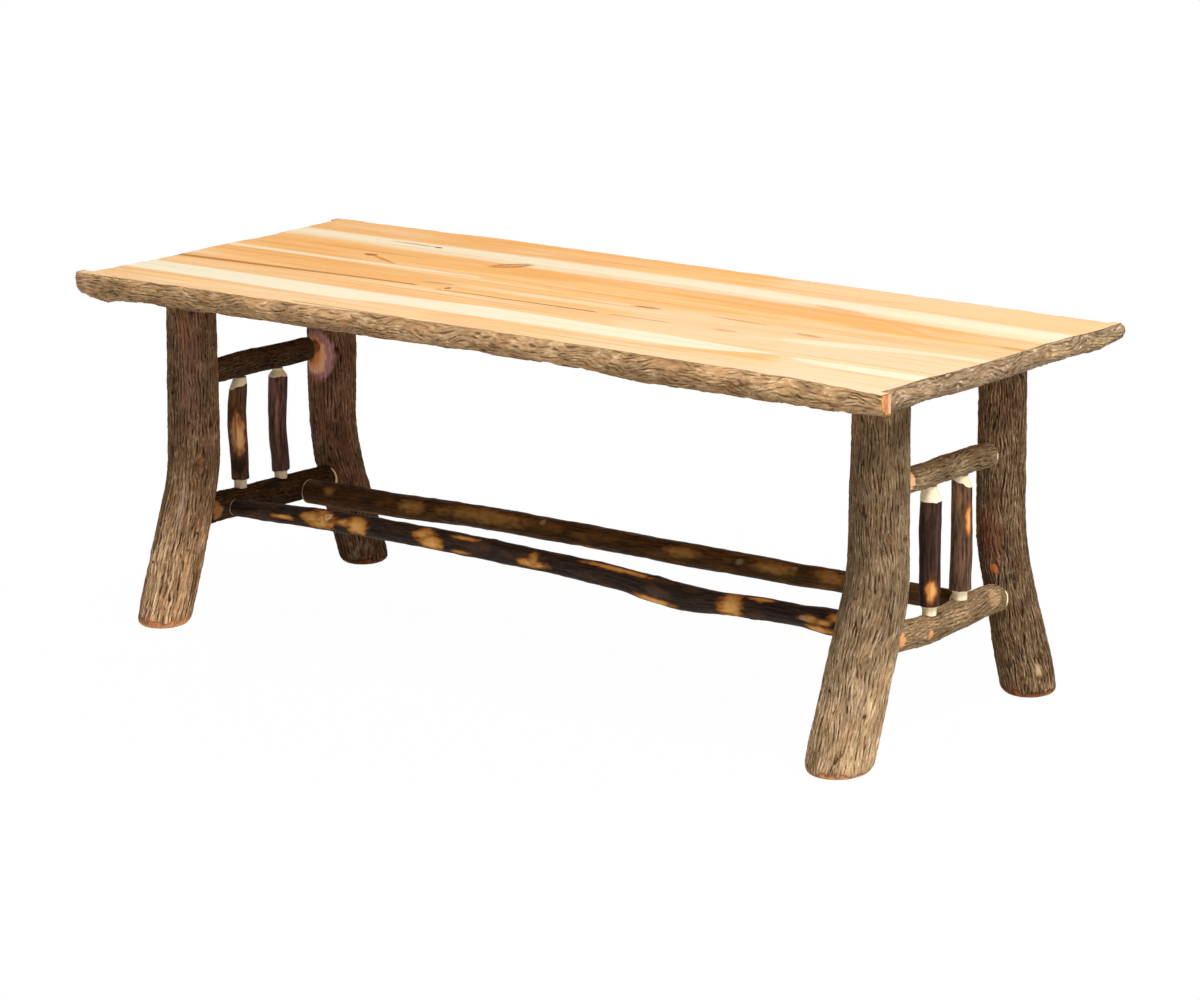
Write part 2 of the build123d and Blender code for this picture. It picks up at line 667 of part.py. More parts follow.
# ----------------------------------------------------------------- assembly
def build_top(pieces):
    """The planks and the half logs around them."""
    edges = board_edges()
    for name, front_edge, width in zip(BOARD_NAMES, edges, BOARD_WIDTHS):
        pieces[name] = make_board(front_edge, width)
    front = half_log(TOP_LENGTH + FRONT_LOG_EXTRA, LONG_LOG_REACH, FRONT_LOG, rounded_ends=(-1, 1))
    back = half_log(TOP_LENGTH - END_LOG_REACH, BACK_LOG_REACH, BACK_LOG, rounded_ends=(1,))
    left = half_log(PANEL_WIDTH, END_LOG_REACH, LEFT_LOG)
    right = half_log(PANEL_WIDTH + RIGHT_LOG_EXTRA, END_LOG_REACH, RIGHT_LOG)
    pieces["front_edge_log"] = place_half_log(front, 0, -FRONT_LOG_EXTRA / 2, -PANEL_WIDTH / 2)
    pieces["back_edge_log"] = place_half_log(back, 180, -END_LOG_REACH / 2, PANEL_WIDTH / 2)
    pieces["left_edge_log"] = place_half_log(left, -90, -PANEL_LENGTH / 2, 0)
    pieces["right_edge_log"] = place_half_log(right, 90, PANEL_LENGTH / 2, RIGHT_LOG_EXTRA / 2)


def build_frames(pieces):
    """Legs, rails and spindles of the two end frames, and the stretchers between them."""
    for leg in LEGS:
        body = make_leg(leg)
        for rail in UPPER_RAILS + LOWER_RAILS:
            if rail.side_x == leg.side_x:
                body -= rail_socket(rail, leg)
        pieces[leg.name] = body - lag_hole(leg)
    for rail in UPPER_RAILS + LOWER_RAILS:
        pieces[rail.name] = make_rail(rail)
    for spindle in SPINDLES:
        pieces[spindle.name] = make_spindle(spindle)
        side = "left" if spindle.side_x < 0 else "right"
        lower, upper = spindle_mortises(spindle)
        pieces[f"{side}_lower_rail"] -= lower
        pieces[f"{side}_upper_rail"] -= upper
    for stretcher in STRETCHERS:
        pieces[stretcher.name] = make_stretcher(stretcher)
        for rail in LOWER_RAILS:
            pieces[rail.name] -= stretcher_socket(stretcher, rail)


def build_cleats(pieces):
    """The cleats over the end frames and the batten under the middle of the planks."""
    bars = [("left_cleat", -FRAME_X, CLEAT_WIDTH), ("right_cleat", FRAME_X, CLEAT_WIDTH),
            ("centre_batten", 0.0, BATTEN_WIDTH)]
    screws = []
    for name, x, width in bars:
        pieces[name] = make_cleat(x, width)
        for y in screw_places():
            screws.append(cleat_screw(x, y))
            for board in BOARD_NAMES:
                pieces[board] -= cleat_screw_hole(x, y)
    for leg in LEGS:
        side = "left" if leg.side_x < 0 else "right"
        pieces[f"{side}_cleat"] -= lag_hole(leg)
    pieces["cleat_screws"] = Compound(children=[single(screw) for screw in screws])
    pieces["leg_lag_screws"] = Compound(children=[single(lag_screw(leg)) for leg in LEGS])


def build_nails(pieces):
    """The finish nails, and their holes in what they go through."""
    nails = []
    for leg, rail, head_top, direction in rail_nail_places():
        hole = nail_hole(head_top, direction, RAIL_NAIL_LENGTH)
        pieces[leg.name] -= hole
        pieces[rail.name] -= hole
        nails.append(nail(head_top, direction, RAIL_NAIL_LENGTH))
    pieces["rail_nails"] = Compound(children=[single(each) for each in nails])
    nails = []
    for stretcher, rail, head_top, direction in stretcher_nail_places():
        hole = nail_hole(head_top, direction, STRETCHER_NAIL_LENGTH)
        pieces[rail.name] -= hole
        pieces[stretcher.name] -= hole
        nails.append(nail(head_top, direction, STRETCHER_NAIL_LENGTH))
    pieces["stretcher_nails"] = Compound(children=[single(each) for each in nails])
    nails = []
    logs = ["front_edge_log", "back_edge_log", "left_edge_log", "right_edge_log"]
    for head_top, direction, length in edge_nail_places():
        hole = nail_hole(head_top, direction, length)
        for name in logs + BOARD_NAMES:
            pieces[name] -= hole
        nails.append(nail(head_top, direction, length))
    pieces["edge_nails"] = Compound(children=[single(each) for each in nails])


def main():
    pieces = {}
    build_top(pieces)
    build_frames(pieces)
    build_cleats(pieces)
    build_nails(pieces)
    for name, shape in pieces.items():
        solids = shape.solids()
        shape = solids[0] if len(solids) == 1 else Compound(children=solids)
        shape.label = name
        export_step(shape, f"parts/{name}.step")


main()
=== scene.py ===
import math

import bpy
import numpy as np
from bpy.props import FloatProperty, FloatVectorProperty, IntProperty, PointerProperty
from bpy.types import Operator, Panel, PropertyGroup
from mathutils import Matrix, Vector
from mathutils.bvhtree import BVHTree


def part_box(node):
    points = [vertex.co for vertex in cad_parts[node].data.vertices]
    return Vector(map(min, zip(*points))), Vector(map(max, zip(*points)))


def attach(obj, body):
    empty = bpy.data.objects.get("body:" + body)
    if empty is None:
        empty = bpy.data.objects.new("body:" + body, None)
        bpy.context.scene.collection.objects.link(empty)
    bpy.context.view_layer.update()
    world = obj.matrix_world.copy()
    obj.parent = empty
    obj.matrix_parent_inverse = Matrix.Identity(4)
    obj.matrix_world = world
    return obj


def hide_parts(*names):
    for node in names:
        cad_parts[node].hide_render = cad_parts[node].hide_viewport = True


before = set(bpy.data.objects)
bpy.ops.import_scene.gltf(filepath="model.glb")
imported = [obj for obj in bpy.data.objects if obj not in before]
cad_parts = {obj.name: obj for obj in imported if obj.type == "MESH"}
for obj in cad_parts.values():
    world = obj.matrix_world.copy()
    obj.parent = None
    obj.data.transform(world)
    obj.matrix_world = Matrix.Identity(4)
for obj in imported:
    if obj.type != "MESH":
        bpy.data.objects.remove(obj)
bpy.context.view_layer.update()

bl_info = {
    "name": "Rustic Log Table",
    "version": (1, 0, 0),
    "blender": (4, 5, 0),
    "location": "View3D > Sidebar > Log Table",
    "description": "Bark, wood and a plain studio for a low table of hickory logs",
    "category": "Object",
}

# Metres, in the frame's own axes: +X along the top, +Y to the back, +Z up.
MM = 0.001
BODY = "root"
BOARDS = ["front_board", "second_board", "middle_board", "wide_board", "back_board"]
CLEATS = ["left_cleat", "right_cleat", "centre_batten"]
HARDWARE = ["cleat_screws", "leg_lag_screws", "edge_nails", "rail_nails", "stretcher_nails"]
X, Y, Z = 0, 1, 2
# The two directions that a log's turn is measured in, for a log along X, Y or Z.
ACROSS = {X: (Y, Z), Y: (Z, X), Z: (X, Y)}


def srgb(red, green, blue):
    """A colour as the shaders use it, from its everyday numbers up to 255."""
    shares = [value / 255 for value in (red, green, blue)]
    return tuple(s / 12.92 if s <= 0.04045 else ((s + 0.055) / 1.055) ** 2.4 for s in shares)


# ------------------------------------------------------------------ settings
class BarkSettings(PropertyGroup):
    """How the bark of the thick logs is carved."""

    furrow_spacing: FloatProperty(
        name="Furrow spacing", description="Usual width of a ridge between furrows", default=3.2 * MM,
        unit="LENGTH", precision=4)
    furrow_length: FloatProperty(
        name="Furrow length", description="Usual length of a ridge", default=24 * MM,
        unit="LENGTH", precision=4)
    furrow_depth: FloatProperty(
        name="Furrow depth", description="Usual depth of a furrow", default=0.9 * MM,
        unit="LENGTH", precision=4)
    lump_depth: FloatProperty(
        name="Lump depth", description="How far the log's round is dented", default=0.9 * MM,
        unit="LENGTH", precision=4)
    slant: FloatProperty(
        name="Slant", description="How far furrows lean to either side", default=math.radians(6),
        subtype="ANGLE")
    leg_columns: IntProperty(
        name="Faces round a leg", description="Number of faces round a leg", default=280, min=24)
    leg_rows: IntProperty(
        name="Faces along a leg", description="Number of faces along a leg", default=336, min=24)


class WoodSettings(PropertyGroup):
    """Colours of the wood."""

    heartwood: FloatVectorProperty(
        name="Heartwood", description="Tan heartwood of the planks", subtype="COLOR",
        default=srgb(255, 202, 134), min=0, max=1)
    dark_heartwood: FloatVectorProperty(
        name="Dark heartwood", description="Late growth in the heartwood", subtype="COLOR",
        default=srgb(236, 160, 80), min=0, max=1)
    sapwood: FloatVectorProperty(
        name="Sapwood", description="Cream sapwood of the planks", subtype="COLOR",
        default=srgb(250, 236, 204), min=0, max=1)


class StudioSettings(PropertyGroup):
    """Camera and light."""

    lens: FloatProperty(
        name="Lens", description="Focal length", default=137.31, unit="CAMERA")
    camera_place: FloatVectorProperty(
        name="Camera place", description="Where the camera stands", subtype="TRANSLATION",
        default=(3.3669, -4.3624, 1.5182), precision=4)
    camera_direction: FloatVectorProperty(
        name="Camera direction", description="Where the camera looks", subtype="DIRECTION",
        default=(-0.5916, 0.7721, -0.2321), precision=4)
    key_power: FloatProperty(
        name="Key power", description="Power of the large lamp", default=705, unit="POWER")
    fill_power: FloatProperty(
        name="Fill power", description="Power of the low lamp at the right", default=18, unit="POWER")
    ambient: FloatProperty(
        name="Ambient", description="Strength of the even light", default=0.2, min=0)


class TableSettings(PropertyGroup):
    """All settings of the table."""

    bark: PointerProperty(type=BarkSettings)
    wood: PointerProperty(type=WoodSettings)
    studio: PointerProperty(type=StudioSettings)


def settings():
    return bpy.context.scene.log_table


# --------------------------------------------------------- measuring the frame
RING_RAYS = 48
# How much wider than a tenon the log's body is at least, and how exactly its end is found.
BODY_STEP, BODY_PRECISION = 1.0 * MM, 0.1 * MM


def fit_ellipse(points, guess):
    """Centre and half widths of the ellipse through most points; holes and seats fall away."""
    points = np.array(points) / MM
    guess = np.array(guess) / MM
    distance = np.hypot(*(points - guess).T)
    kept = points[np.abs(distance - np.median(distance)) < 4]
    for _ in range(4):
        x, y = (kept - guess).T
        a, b, c, d = np.linalg.lstsq(np.stack([x * x, y * y, x, y], 1), np.ones(len(x)), rcond=None)[0]
        centre = np.array([-c / (2 * a), -d / (2 * b)])
        total = 1 + a * centre[0] ** 2 + b * centre[1] ** 2
        halves = np.sqrt([total / a, total / b])
        off = np.abs(np.hypot(*((points - guess - centre) / halves).T) - 1) * halves.mean()
        kept = points[off < max(0.25, np.quantile(off, 0.6))]
    return [*((centre + guess) * MM), *(halves * MM)]


class Probe:
    """Rays from outside that feel a CAD log, ring by ring."""

    def __init__(self, name, axis):
        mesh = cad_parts[name].data
        self.tree = BVHTree.FromPolygons([v.co for v in mesh.vertices], [p.vertices for p in mesh.polygons])
        self.axis = axis
        self.first, self.second = ACROSS[axis]
        self.low, self.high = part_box(name)
        size = self.high - self.low
        self.reach = max(size[self.first], size[self.second])
        self.middle = Vector(self.low + self.high) / 2

    def ring(self, place, rays):
        """Points of the log round one place along it."""
        self.middle[self.axis] = place
        hits = []
        for turn in np.linspace(0, 2 * math.pi, rays, endpoint=False):
            way = Vector((0, 0, 0))
            way[self.first] = math.cos(turn)
            way[self.second] = math.sin(turn)
            spot = self.tree.ray_cast(self.middle + way * self.reach, -way)[0]
            if spot is not None:
                hits.append((spot[self.first], spot[self.second]))
        return np.array(hits)

    def measure(self, places, rays=RING_RAYS):
        """Middle and half widths at places along the log: one row for each place."""
        for _ in range(6):
            self.middle[self.first], self.middle[self.second] = self.ring(places[0], rays).mean(0)
        found = []
        for place in places:
            guess = (self.middle[self.first], self.middle[self.second])
            found.append(fit_ellipse(self.ring(place, rays), guess))
            self.middle[self.first], self.middle[self.second] = found[-1][:2]
        return np.array(found)

    def body(self, tenon_radius):
        """The two ends of the stretch that is wider than the tenons."""
        ends = []
        for outside in (self.low[self.axis] + 2 * MM, self.high[self.axis] - 2 * MM):
            inside = (self.low[self.axis] + self.high[self.axis]) / 2
            while abs(inside - outside) > BODY_PRECISION:
                between = (inside + outside) / 2
                if np.ptp(self.ring(between, 12)[:, 0]) > 2 * tenon_radius + BODY_STEP:
                    inside = between
                else:
                    outside = between
            ends.append(inside)
        return ends


# ----------------------------------------------------------------- bark noise
# How far apart the values of a sheet of bark are.
GRAIN = 1.0 * MM


def step_up(low, high, value):
    """0 under low, 1 over high, and a soft rise between."""
    t = np.clip((value - low) / (high - low), 0, 1)
    return t * t * (3 - 2 * t)


class Sheet:
    """A sheet of bark that closes round its log, with seeded noise on it."""

    def __init__(self, seed, length, girth):
        self.random = np.random.default_rng(seed)
        self.length = length
        self.girth = girth
        self.shape = (max(24, int(length / GRAIN)), max(24, int(girth / GRAIN)))

    def noise(self, along, across, slant=0.0, ripple=False):
        """Noise with features of a length along the log and a width across it, about -2 to 2."""
        rows, columns = self.shape
        down = np.fft.fftfreq(rows, self.length / rows)[:, None]
        over = np.fft.fftfreq(columns, self.girth / columns)[None, :]
        u = over * math.cos(slant) + down * math.sin(slant)
        v = down * math.cos(slant) - over * math.sin(slant)
        keep = np.exp(-((v * along) ** 2))
        keep = keep * (np.exp(-(((np.abs(u) * across) - 1) / 0.42) ** 2) if ripple
                       else np.exp(-((u * across) ** 2)))
        keep[0, 0] = 0
        white = np.fft.fft2(self.random.standard_normal(self.shape))
        field = np.real(np.fft.ifft2(white * keep))
        return field / field.std()

    def look_up(self, field, down, over):
        """The field at distances along and round the log, in metres."""
        rows, columns = self.shape
        r = (down / self.length * rows) % rows
        c = (over / self.girth * columns) % columns
        r0, c0 = np.floor(r).astype(int), np.floor(c).astype(int)
        fr, fc = r - r0, c - c0
        r0, c0 = r0 % rows, c0 % columns
        r1, c1 = (r0 + 1) % rows, (c0 + 1) % columns
        upper = field[r0, c0] * (1 - fc) + field[r0, c1] * fc
        lower = field[r1, c0] * (1 - fc) + field[r1, c1] * fc
        return upper * (1 - fr) + lower * fr


def line_distance(field, sheet):
    """How far every point of a sheet is from the lines where its noise changes sign, in metres."""
    rows, columns = field.shape
    down = (np.roll(field, -1, 0) - np.roll(field, 1, 0)) / (2 * sheet.length / rows)
    over = (np.roll(field, -1, 1) - np.roll(field, 1, 1)) / (2 * sheet.girth / columns)
    steep = np.hypot(down, over)
    return np.abs(field) / np.maximum(steep, 0.35 * np.median(steep))


def wrapped(distance, girth):
    """A distance round the log, taken the short way."""
    return (distance + girth / 2) % girth - girth / 2


# ------------------------------------------------------------------ log shapes
# Faces that meet at a smaller angle than this are shaded as one smooth skin.
SMOOTH_ANGLE = math.radians(62)
STATION_SPACING = 9 * MM


def end_profile(length, rows, low_round, high_round, arc_rows=7):
    """Rows along a log, closer at its rounded ends: distance along, and how far each is drawn in."""
    turns = np.linspace(0, math.pi / 2, arc_rows)
    low = low_round * (1 - np.cos(turns))
    high = length - high_round * (1 - np.cos(turns))
    middle = np.linspace(low_round, length - high_round, rows - 2 * arc_rows + 2)[1:-1]
    down = np.concatenate([low, middle, high[::-1]])
    inset = np.concatenate([
        low_round * (1 - np.sin(turns)), np.zeros(len(middle)), high_round * (1 - np.sin(turns[::-1]))])
    return down, inset


def row_cuts(spans):
    """Numbers of cuts that divide one span into this many, a few at a time."""
    cuts = []
    factor = 2
    while spans > 1:
        if spans % factor == 0:
            cuts.append(factor - 1)
            spans //= factor
        else:
            factor += 1
    return cuts


def read(items, name, width, kind=float):
    """A value of every point or edge of a mesh: one row for each."""
    values = np.empty(len(items) * width, kind)
    items.foreach_get(name, values)
    return values.reshape(-1, width)


class Skin:
    """A tube with flat ends, cut into rows of faces. Its points go by their row and column."""

    def __init__(self, name, rows, columns):
        bpy.ops.object.select_all(action="DESELECT")
        bpy.ops.mesh.primitive_cylinder_add(vertices=columns, radius=1, depth=1, end_fill_type="NGON")
        self.piece = bpy.context.object
        self.piece.name = self.piece.data.name = name
        self.mesh = self.piece.data
        for count in row_cuts(rows - 1):
            self.cut(count)
        x, y, z = read(self.mesh.vertices, "co", 3).T
        self.row = np.rint((z + 0.5) * (rows - 1)).astype(int)
        self.column = np.rint(np.arctan2(y, x) / (2 * math.pi) * columns).astype(int) % columns

    def cut(self, count):
        """Cuts every upright edge, and the faces between them, into more rows."""
        bpy.ops.object.mode_set(mode="EDIT")
        bpy.ops.mesh.select_mode(type="EDGE")
        bpy.ops.mesh.select_all(action="DESELECT")
        bpy.ops.object.mode_set(mode="OBJECT")
        heights = read(self.mesh.vertices, "co", 3)[:, 2]
        ends = heights[read(self.mesh.edges, "vertices", 2, int)]
        self.mesh.edges.foreach_set("select", np.abs(ends[:, 0] - ends[:, 1]) > 1e-5)
        bpy.ops.object.mode_set(mode="EDIT")
        bpy.ops.mesh.subdivide(number_cuts=count)
        bpy.ops.object.mode_set(mode="OBJECT")

    def move(self, places):
        """Moves each point to its place in a grid of places."""
        self.mesh.vertices.foreach_set("co", places[self.row, self.column].ravel())
        self.mesh.update()

    def mask(self, name, grid):
        """Keeps a grid of values on the points, for the material."""
        kind, field = ("FLOAT", "value") if grid.ndim == 2 else ("FLOAT_VECTOR", "vector")
        attribute = self.mesh.attributes.new(name, kind, "POINT")
        values = np.ascontiguousarray(grid[self.row, self.column], np.float32)
        attribute.data.foreach_set(field, values.ravel())

    def finish(self, node, slot, materials):
        """Smooth faces and materials for a finished piece, which then hides its CAD node and hangs on the
        body.
        """
        piece = self.piece
        bpy.ops.object.select_all(action="DESELECT")
        piece.select_set(True)
        bpy.context.view_layer.objects.active = piece
        bpy.ops.object.shade_smooth_by_angle(angle=SMOOTH_ANGLE)
        for material in materials:
            self.mesh.materials.append(material)
        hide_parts(node)
        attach(piece, BODY)


def extended(place, stations, values):
    """Values between the stations, and in a straight line past the first and last one."""
    inner = np.interp(place, stations, values)
    first = (values[1] - values[0]) / (stations[1] - stations[0])
    last = (values[-1] - values[-2]) / (stations[-1] - stations[-2])
    inner = np.where(place < stations[0], values[0] + first * (place - stations[0]), inner)
    return np.where(place > stations[-1], values[-1] + last * (place - stations[-1]), inner)


class Log:
    """A round log measured from its CAD node, with a sheet of bark round it."""

    def __init__(self, node, axis, span, rows, columns, seed, rounds=(0, 0), margin=6 * MM):
        self.node, self.axis, self.rows, self.columns = node, axis, rows, columns
        self.start, end = span
        self.length = end - self.start
        self.down, self.inset = end_profile(self.length, rows, *rounds)
        self.place = self.start + self.down
        stations = np.linspace(self.start + margin, end - margin, max(8, int(self.length / STATION_SPACING)))
        measured = Probe(node, axis).measure(stations)
        self.core = np.stack([extended(self.place, stations, values) for values in measured.T], 1)
        self.radius = self.core[:, 2:].mean(1)
        self.girth = 2 * math.pi * self.radius.mean()
        self.turn = np.linspace(0, 2 * math.pi, columns, endpoint=False)
        self.lay_sheet(seed, self.turn / (2 * math.pi) * self.girth)

    def lay_sheet(self, seed, columns_at):
        """Lays a seeded sheet on the log. Every point's way along and round it is known then."""
        self.sheet = Sheet(seed, self.length, self.girth)
        self.along = np.repeat(self.down[:, None], len(columns_at), 1)
        self.round = np.repeat(columns_at[None, :], self.rows, 0)

    def noise(self, along, across, **how):
        """Noise at every point, with features of a length and a width in millimetres."""
        return self.sheet.look_up(self.sheet.noise(along * MM, across * MM, **how), self.along, self.round)

    def spot(self, place, turn_degrees):
        """Distances of every point from a spot on the log: along it and round it."""
        over = math.radians(turn_degrees) / (2 * math.pi) * self.girth
        return self.along - (place - self.start), wrapped(self.round - over, self.girth)

    def places(self, relief):
        """Every point's place, drawn in from the log's round by a relief."""
        grid = np.empty((self.rows, self.columns, 3))
        first, second = ACROSS[self.axis]
        inwards = relief + self.inset[:, None]
        grid[..., self.axis] = self.place[:, None]
        grid[..., first] = self.core[:, 0:1] + (self.core[:, 2:3] - inwards) * np.cos(self.turn)
        grid[..., second] = self.core[:, 1:2] + (self.core[:, 3:4] - inwards) * np.sin(self.turn)
        return grid

    def straight(self):
        """Every point's place on the same log if it were straight, for grain that follows it."""
        grid = np.empty((self.rows, self.columns, 3))
        grid[..., 0] = self.radius[:, None] * np.cos(self.turn)
        grid[..., 1] = self.radius[:, None] * np.sin(self.turn)
        grid[..., 2] = self.place[:, None]
        return grid

    def widen(self, name, grid):
        """A mask for every column of the skin. A round log's has them all."""
        return grid

    def share_out(self, skin):
        """Gives faces their materials. A round log has one."""

    def build(self, slot, relief, masks, materials):
        """Makes the piece that stands for the log's node."""
        skin = Skin(self.node + "_bark", self.rows, self.columns)
        skin.move(self.places(relief))
        skin.mask("log_place", self.straight())
        for name, grid in masks.items():
            skin.mask(name, self.widen(name, grid))
        self.share_out(skin)
        skin.finish(self.node, slot, materials)


class Knot:
    """A knot or knob: where it is, its size, how far it stands out, and whether its bark is gone."""

    def __init__(self, place, turn, size, height=0.0, peeled=0.0, length=1.5):
        self.place, self.turn, self.size = place * MM, turn, size * MM
        self.height, self.peeled, self.length = height * MM, peeled, length


class Look:
    """What sets one log apart: its seed, bark colours, knots, dabs, inner bark, and what its kind adds."""

    def __init__(self, seed, bark, knots=(), dabs=(), layer=None, **more):
        self.seed, self.knots, self.dabs = seed, knots, dabs
        self.bark = [srgb(*value) if isinstance(value, tuple) else value for value in bark]
        self.layer = layer or ORANGE_LAYER
        for name, value in more.items():
            setattr(self, name, value)


class Patch:
    """A patch of a log where the outer bark is rubbed off, from one place and turn to another."""

    def __init__(self, start, end, turn_from, turn_to, strength=1.0):
        self.start, self.end = start * MM, end * MM
        self.turn_from, self.turn_to, self.strength = turn_from, turn_to, strength


class Dab:
    """A soft oval of another colour on a log: its middle, length, width, colour, share and lean."""

    def __init__(self, place, turn, length, width, colour, share=0.8, soft=0.25, lean=0.0):
        self.place, self.turn = place * MM, turn
        self.length, self.width, self.colour = length * MM, width * MM, srgb(*colour)
        self.share, self.soft, self.lean = share, soft, math.radians(lean)


def paint(log, dabs, height, painted_shading, ragged=0.12):
    """Masks for a material: how much of the bark's own colour stays, darkened or lightened by painted
    shading, and the colour laid over it.
    """
    keep = np.ones_like(height) * painted_shading
    over = np.zeros((*height.shape, 3))
    wobble = log.noise(12, 5)
    for dab in dabs:
        d_along, d_round = log.spot(dab.place, dab.turn)
        along = d_along * math.cos(dab.lean) + d_round * math.sin(dab.lean)
        across = d_round * math.cos(dab.lean) - d_along * math.sin(dab.lean)
        d = np.hypot(along / dab.length, across / dab.width) * 2 + ragged * wobble
        share = dab.share * (1 - step_up(1 - dab.soft, 1 + dab.soft, d))
        smooth = dab.share ** 4
        # A dab is painted lighter on ridges and darker in furrows: partly its own colour, partly painted
        # highlight and shade.
        lit = (0.6 + 0.8 * (height + (0.6 - height) * smooth))[..., None] * np.array(dab.colour)
        keep = keep * (1 - share)
        over = over * (1 - share[..., None]) + lit * share[..., None]
    return {"keep": keep, "paint": over}


def rough_bark(log, knots=(), spacing=1.0, depth=1.0, sway=1.0):
    """Relief and height masks of bark: long flat ridges between furrows that meet and part."""
    bark = settings().bark
    sheet = log.sheet
    slow = log.noise(70, 40)
    quick = log.noise(26, 14)
    over = log.round + (1.3 * slow + 0.45 * quick) * MM * sway
    for knot in knots:
        d_along, d_round = log.spot(knot.place, knot.turn)
        d2 = (d_along / knot.length) ** 2 + d_round ** 2
        over = over - d_round * np.minimum(knot.size ** 2 / (d2 + 0.15 * knot.size ** 2), 1.0)
    width = bark.furrow_spacing * spacing
    length = bark.furrow_length * spacing
    left = sheet.look_up(sheet.noise(length, width, bark.slant, ripple=True), log.along, over)
    right = sheet.look_up(sheet.noise(length, width, -bark.slant, ripple=True), log.along, over)
    fine = sheet.look_up(sheet.noise(length * 0.45, width * 0.5, ripple=True), log.along, over)
    ribs = 0.62 * (left + right) + 0.35 * fine
    wide = sheet.noise(2.6 * length, 3.3 * width, ripple=True)
    cracks = sheet.look_up(line_distance(wide, sheet), log.along, over)
    fades = log.noise(12, 6)
    cracks = step_up(1.5 * MM, 0.3 * MM, cracks) * step_up(-1.1, 0.5, fades)
    mood = log.noise(50, 30)
    lumps = log.noise(55, 40)
    dents = log.noise(16, 12)
    deep = bark.furrow_depth * depth
    relief = deep * (0.9 - 0.42 * ribs * (1 + 0.25 * mood) + 1.0 * cracks)
    relief = np.maximum(relief + bark.lump_depth * (0.3 + 0.26 * lumps + 0.15 * dents), 0)
    # The height mask also colours the bark: lighter ridges are partly painted highlight, darker furrows and
    # cracks partly painted shade.
    height = np.clip(0.58 + 0.24 * ribs + 0.05 * mood + 0.05 * dents - 0.7 * cracks, -0.2, 1.2)
    peel = np.zeros_like(relief)
    for knot in knots:
        d_along, d_round = log.spot(knot.place, knot.turn)
        d = np.hypot(d_along / knot.length, d_round) / knot.size
        relief = np.maximum(relief, 0) - knot.height * np.exp(-(d / 1.25) ** 2)
        relief = relief + 0.6 * MM * np.exp(-((d - 0.95) / 0.28) ** 2) * min(1.0, knot.size / (6 * MM))
        rings = 0.5 + 0.5 * np.cos(d * 9.0)
        height = np.where(d < 1, height * 0.45 + 0.35 * rings, height)
        peel = np.maximum(peel, knot.peeled * (1 - step_up(0.7, 1.15, d + 0.12 * dents)))
    return relief, height, peel


def rubbed(log, patches, rim, middle, core):
    """Dabs for rubbed patches, one over another: a dark rim, an orange middle and a pale core."""
    layers = ((1.12, rim, 0.8, 0.3), (0.95, middle, 0.92, 0.35), (0.6, core, 0.8, 0.6))
    dabs = []
    for patch in patches:
        place = (patch.start + patch.end) / 2 / MM
        length = abs(patch.end - patch.start) / MM
        turn = (patch.turn_from + patch.turn_to) / 2
        width = math.radians(abs(patch.turn_to - patch.turn_from)) * log.radius.mean() / MM
        for size, colour, share, soft in layers:
            dabs.append(Dab(place, turn, length * size, width * size, colour, share * patch.strength, soft))
    return dabs


# ------------------------------------------------------------------ shader kit
COLOUR, VALUE, VECTOR = "NodeSocketColor", "NodeSocketFloat", "NodeSocketVector"
SURFACE = {"Color": COLOUR, "Roughness": VALUE, "Height": VALUE}


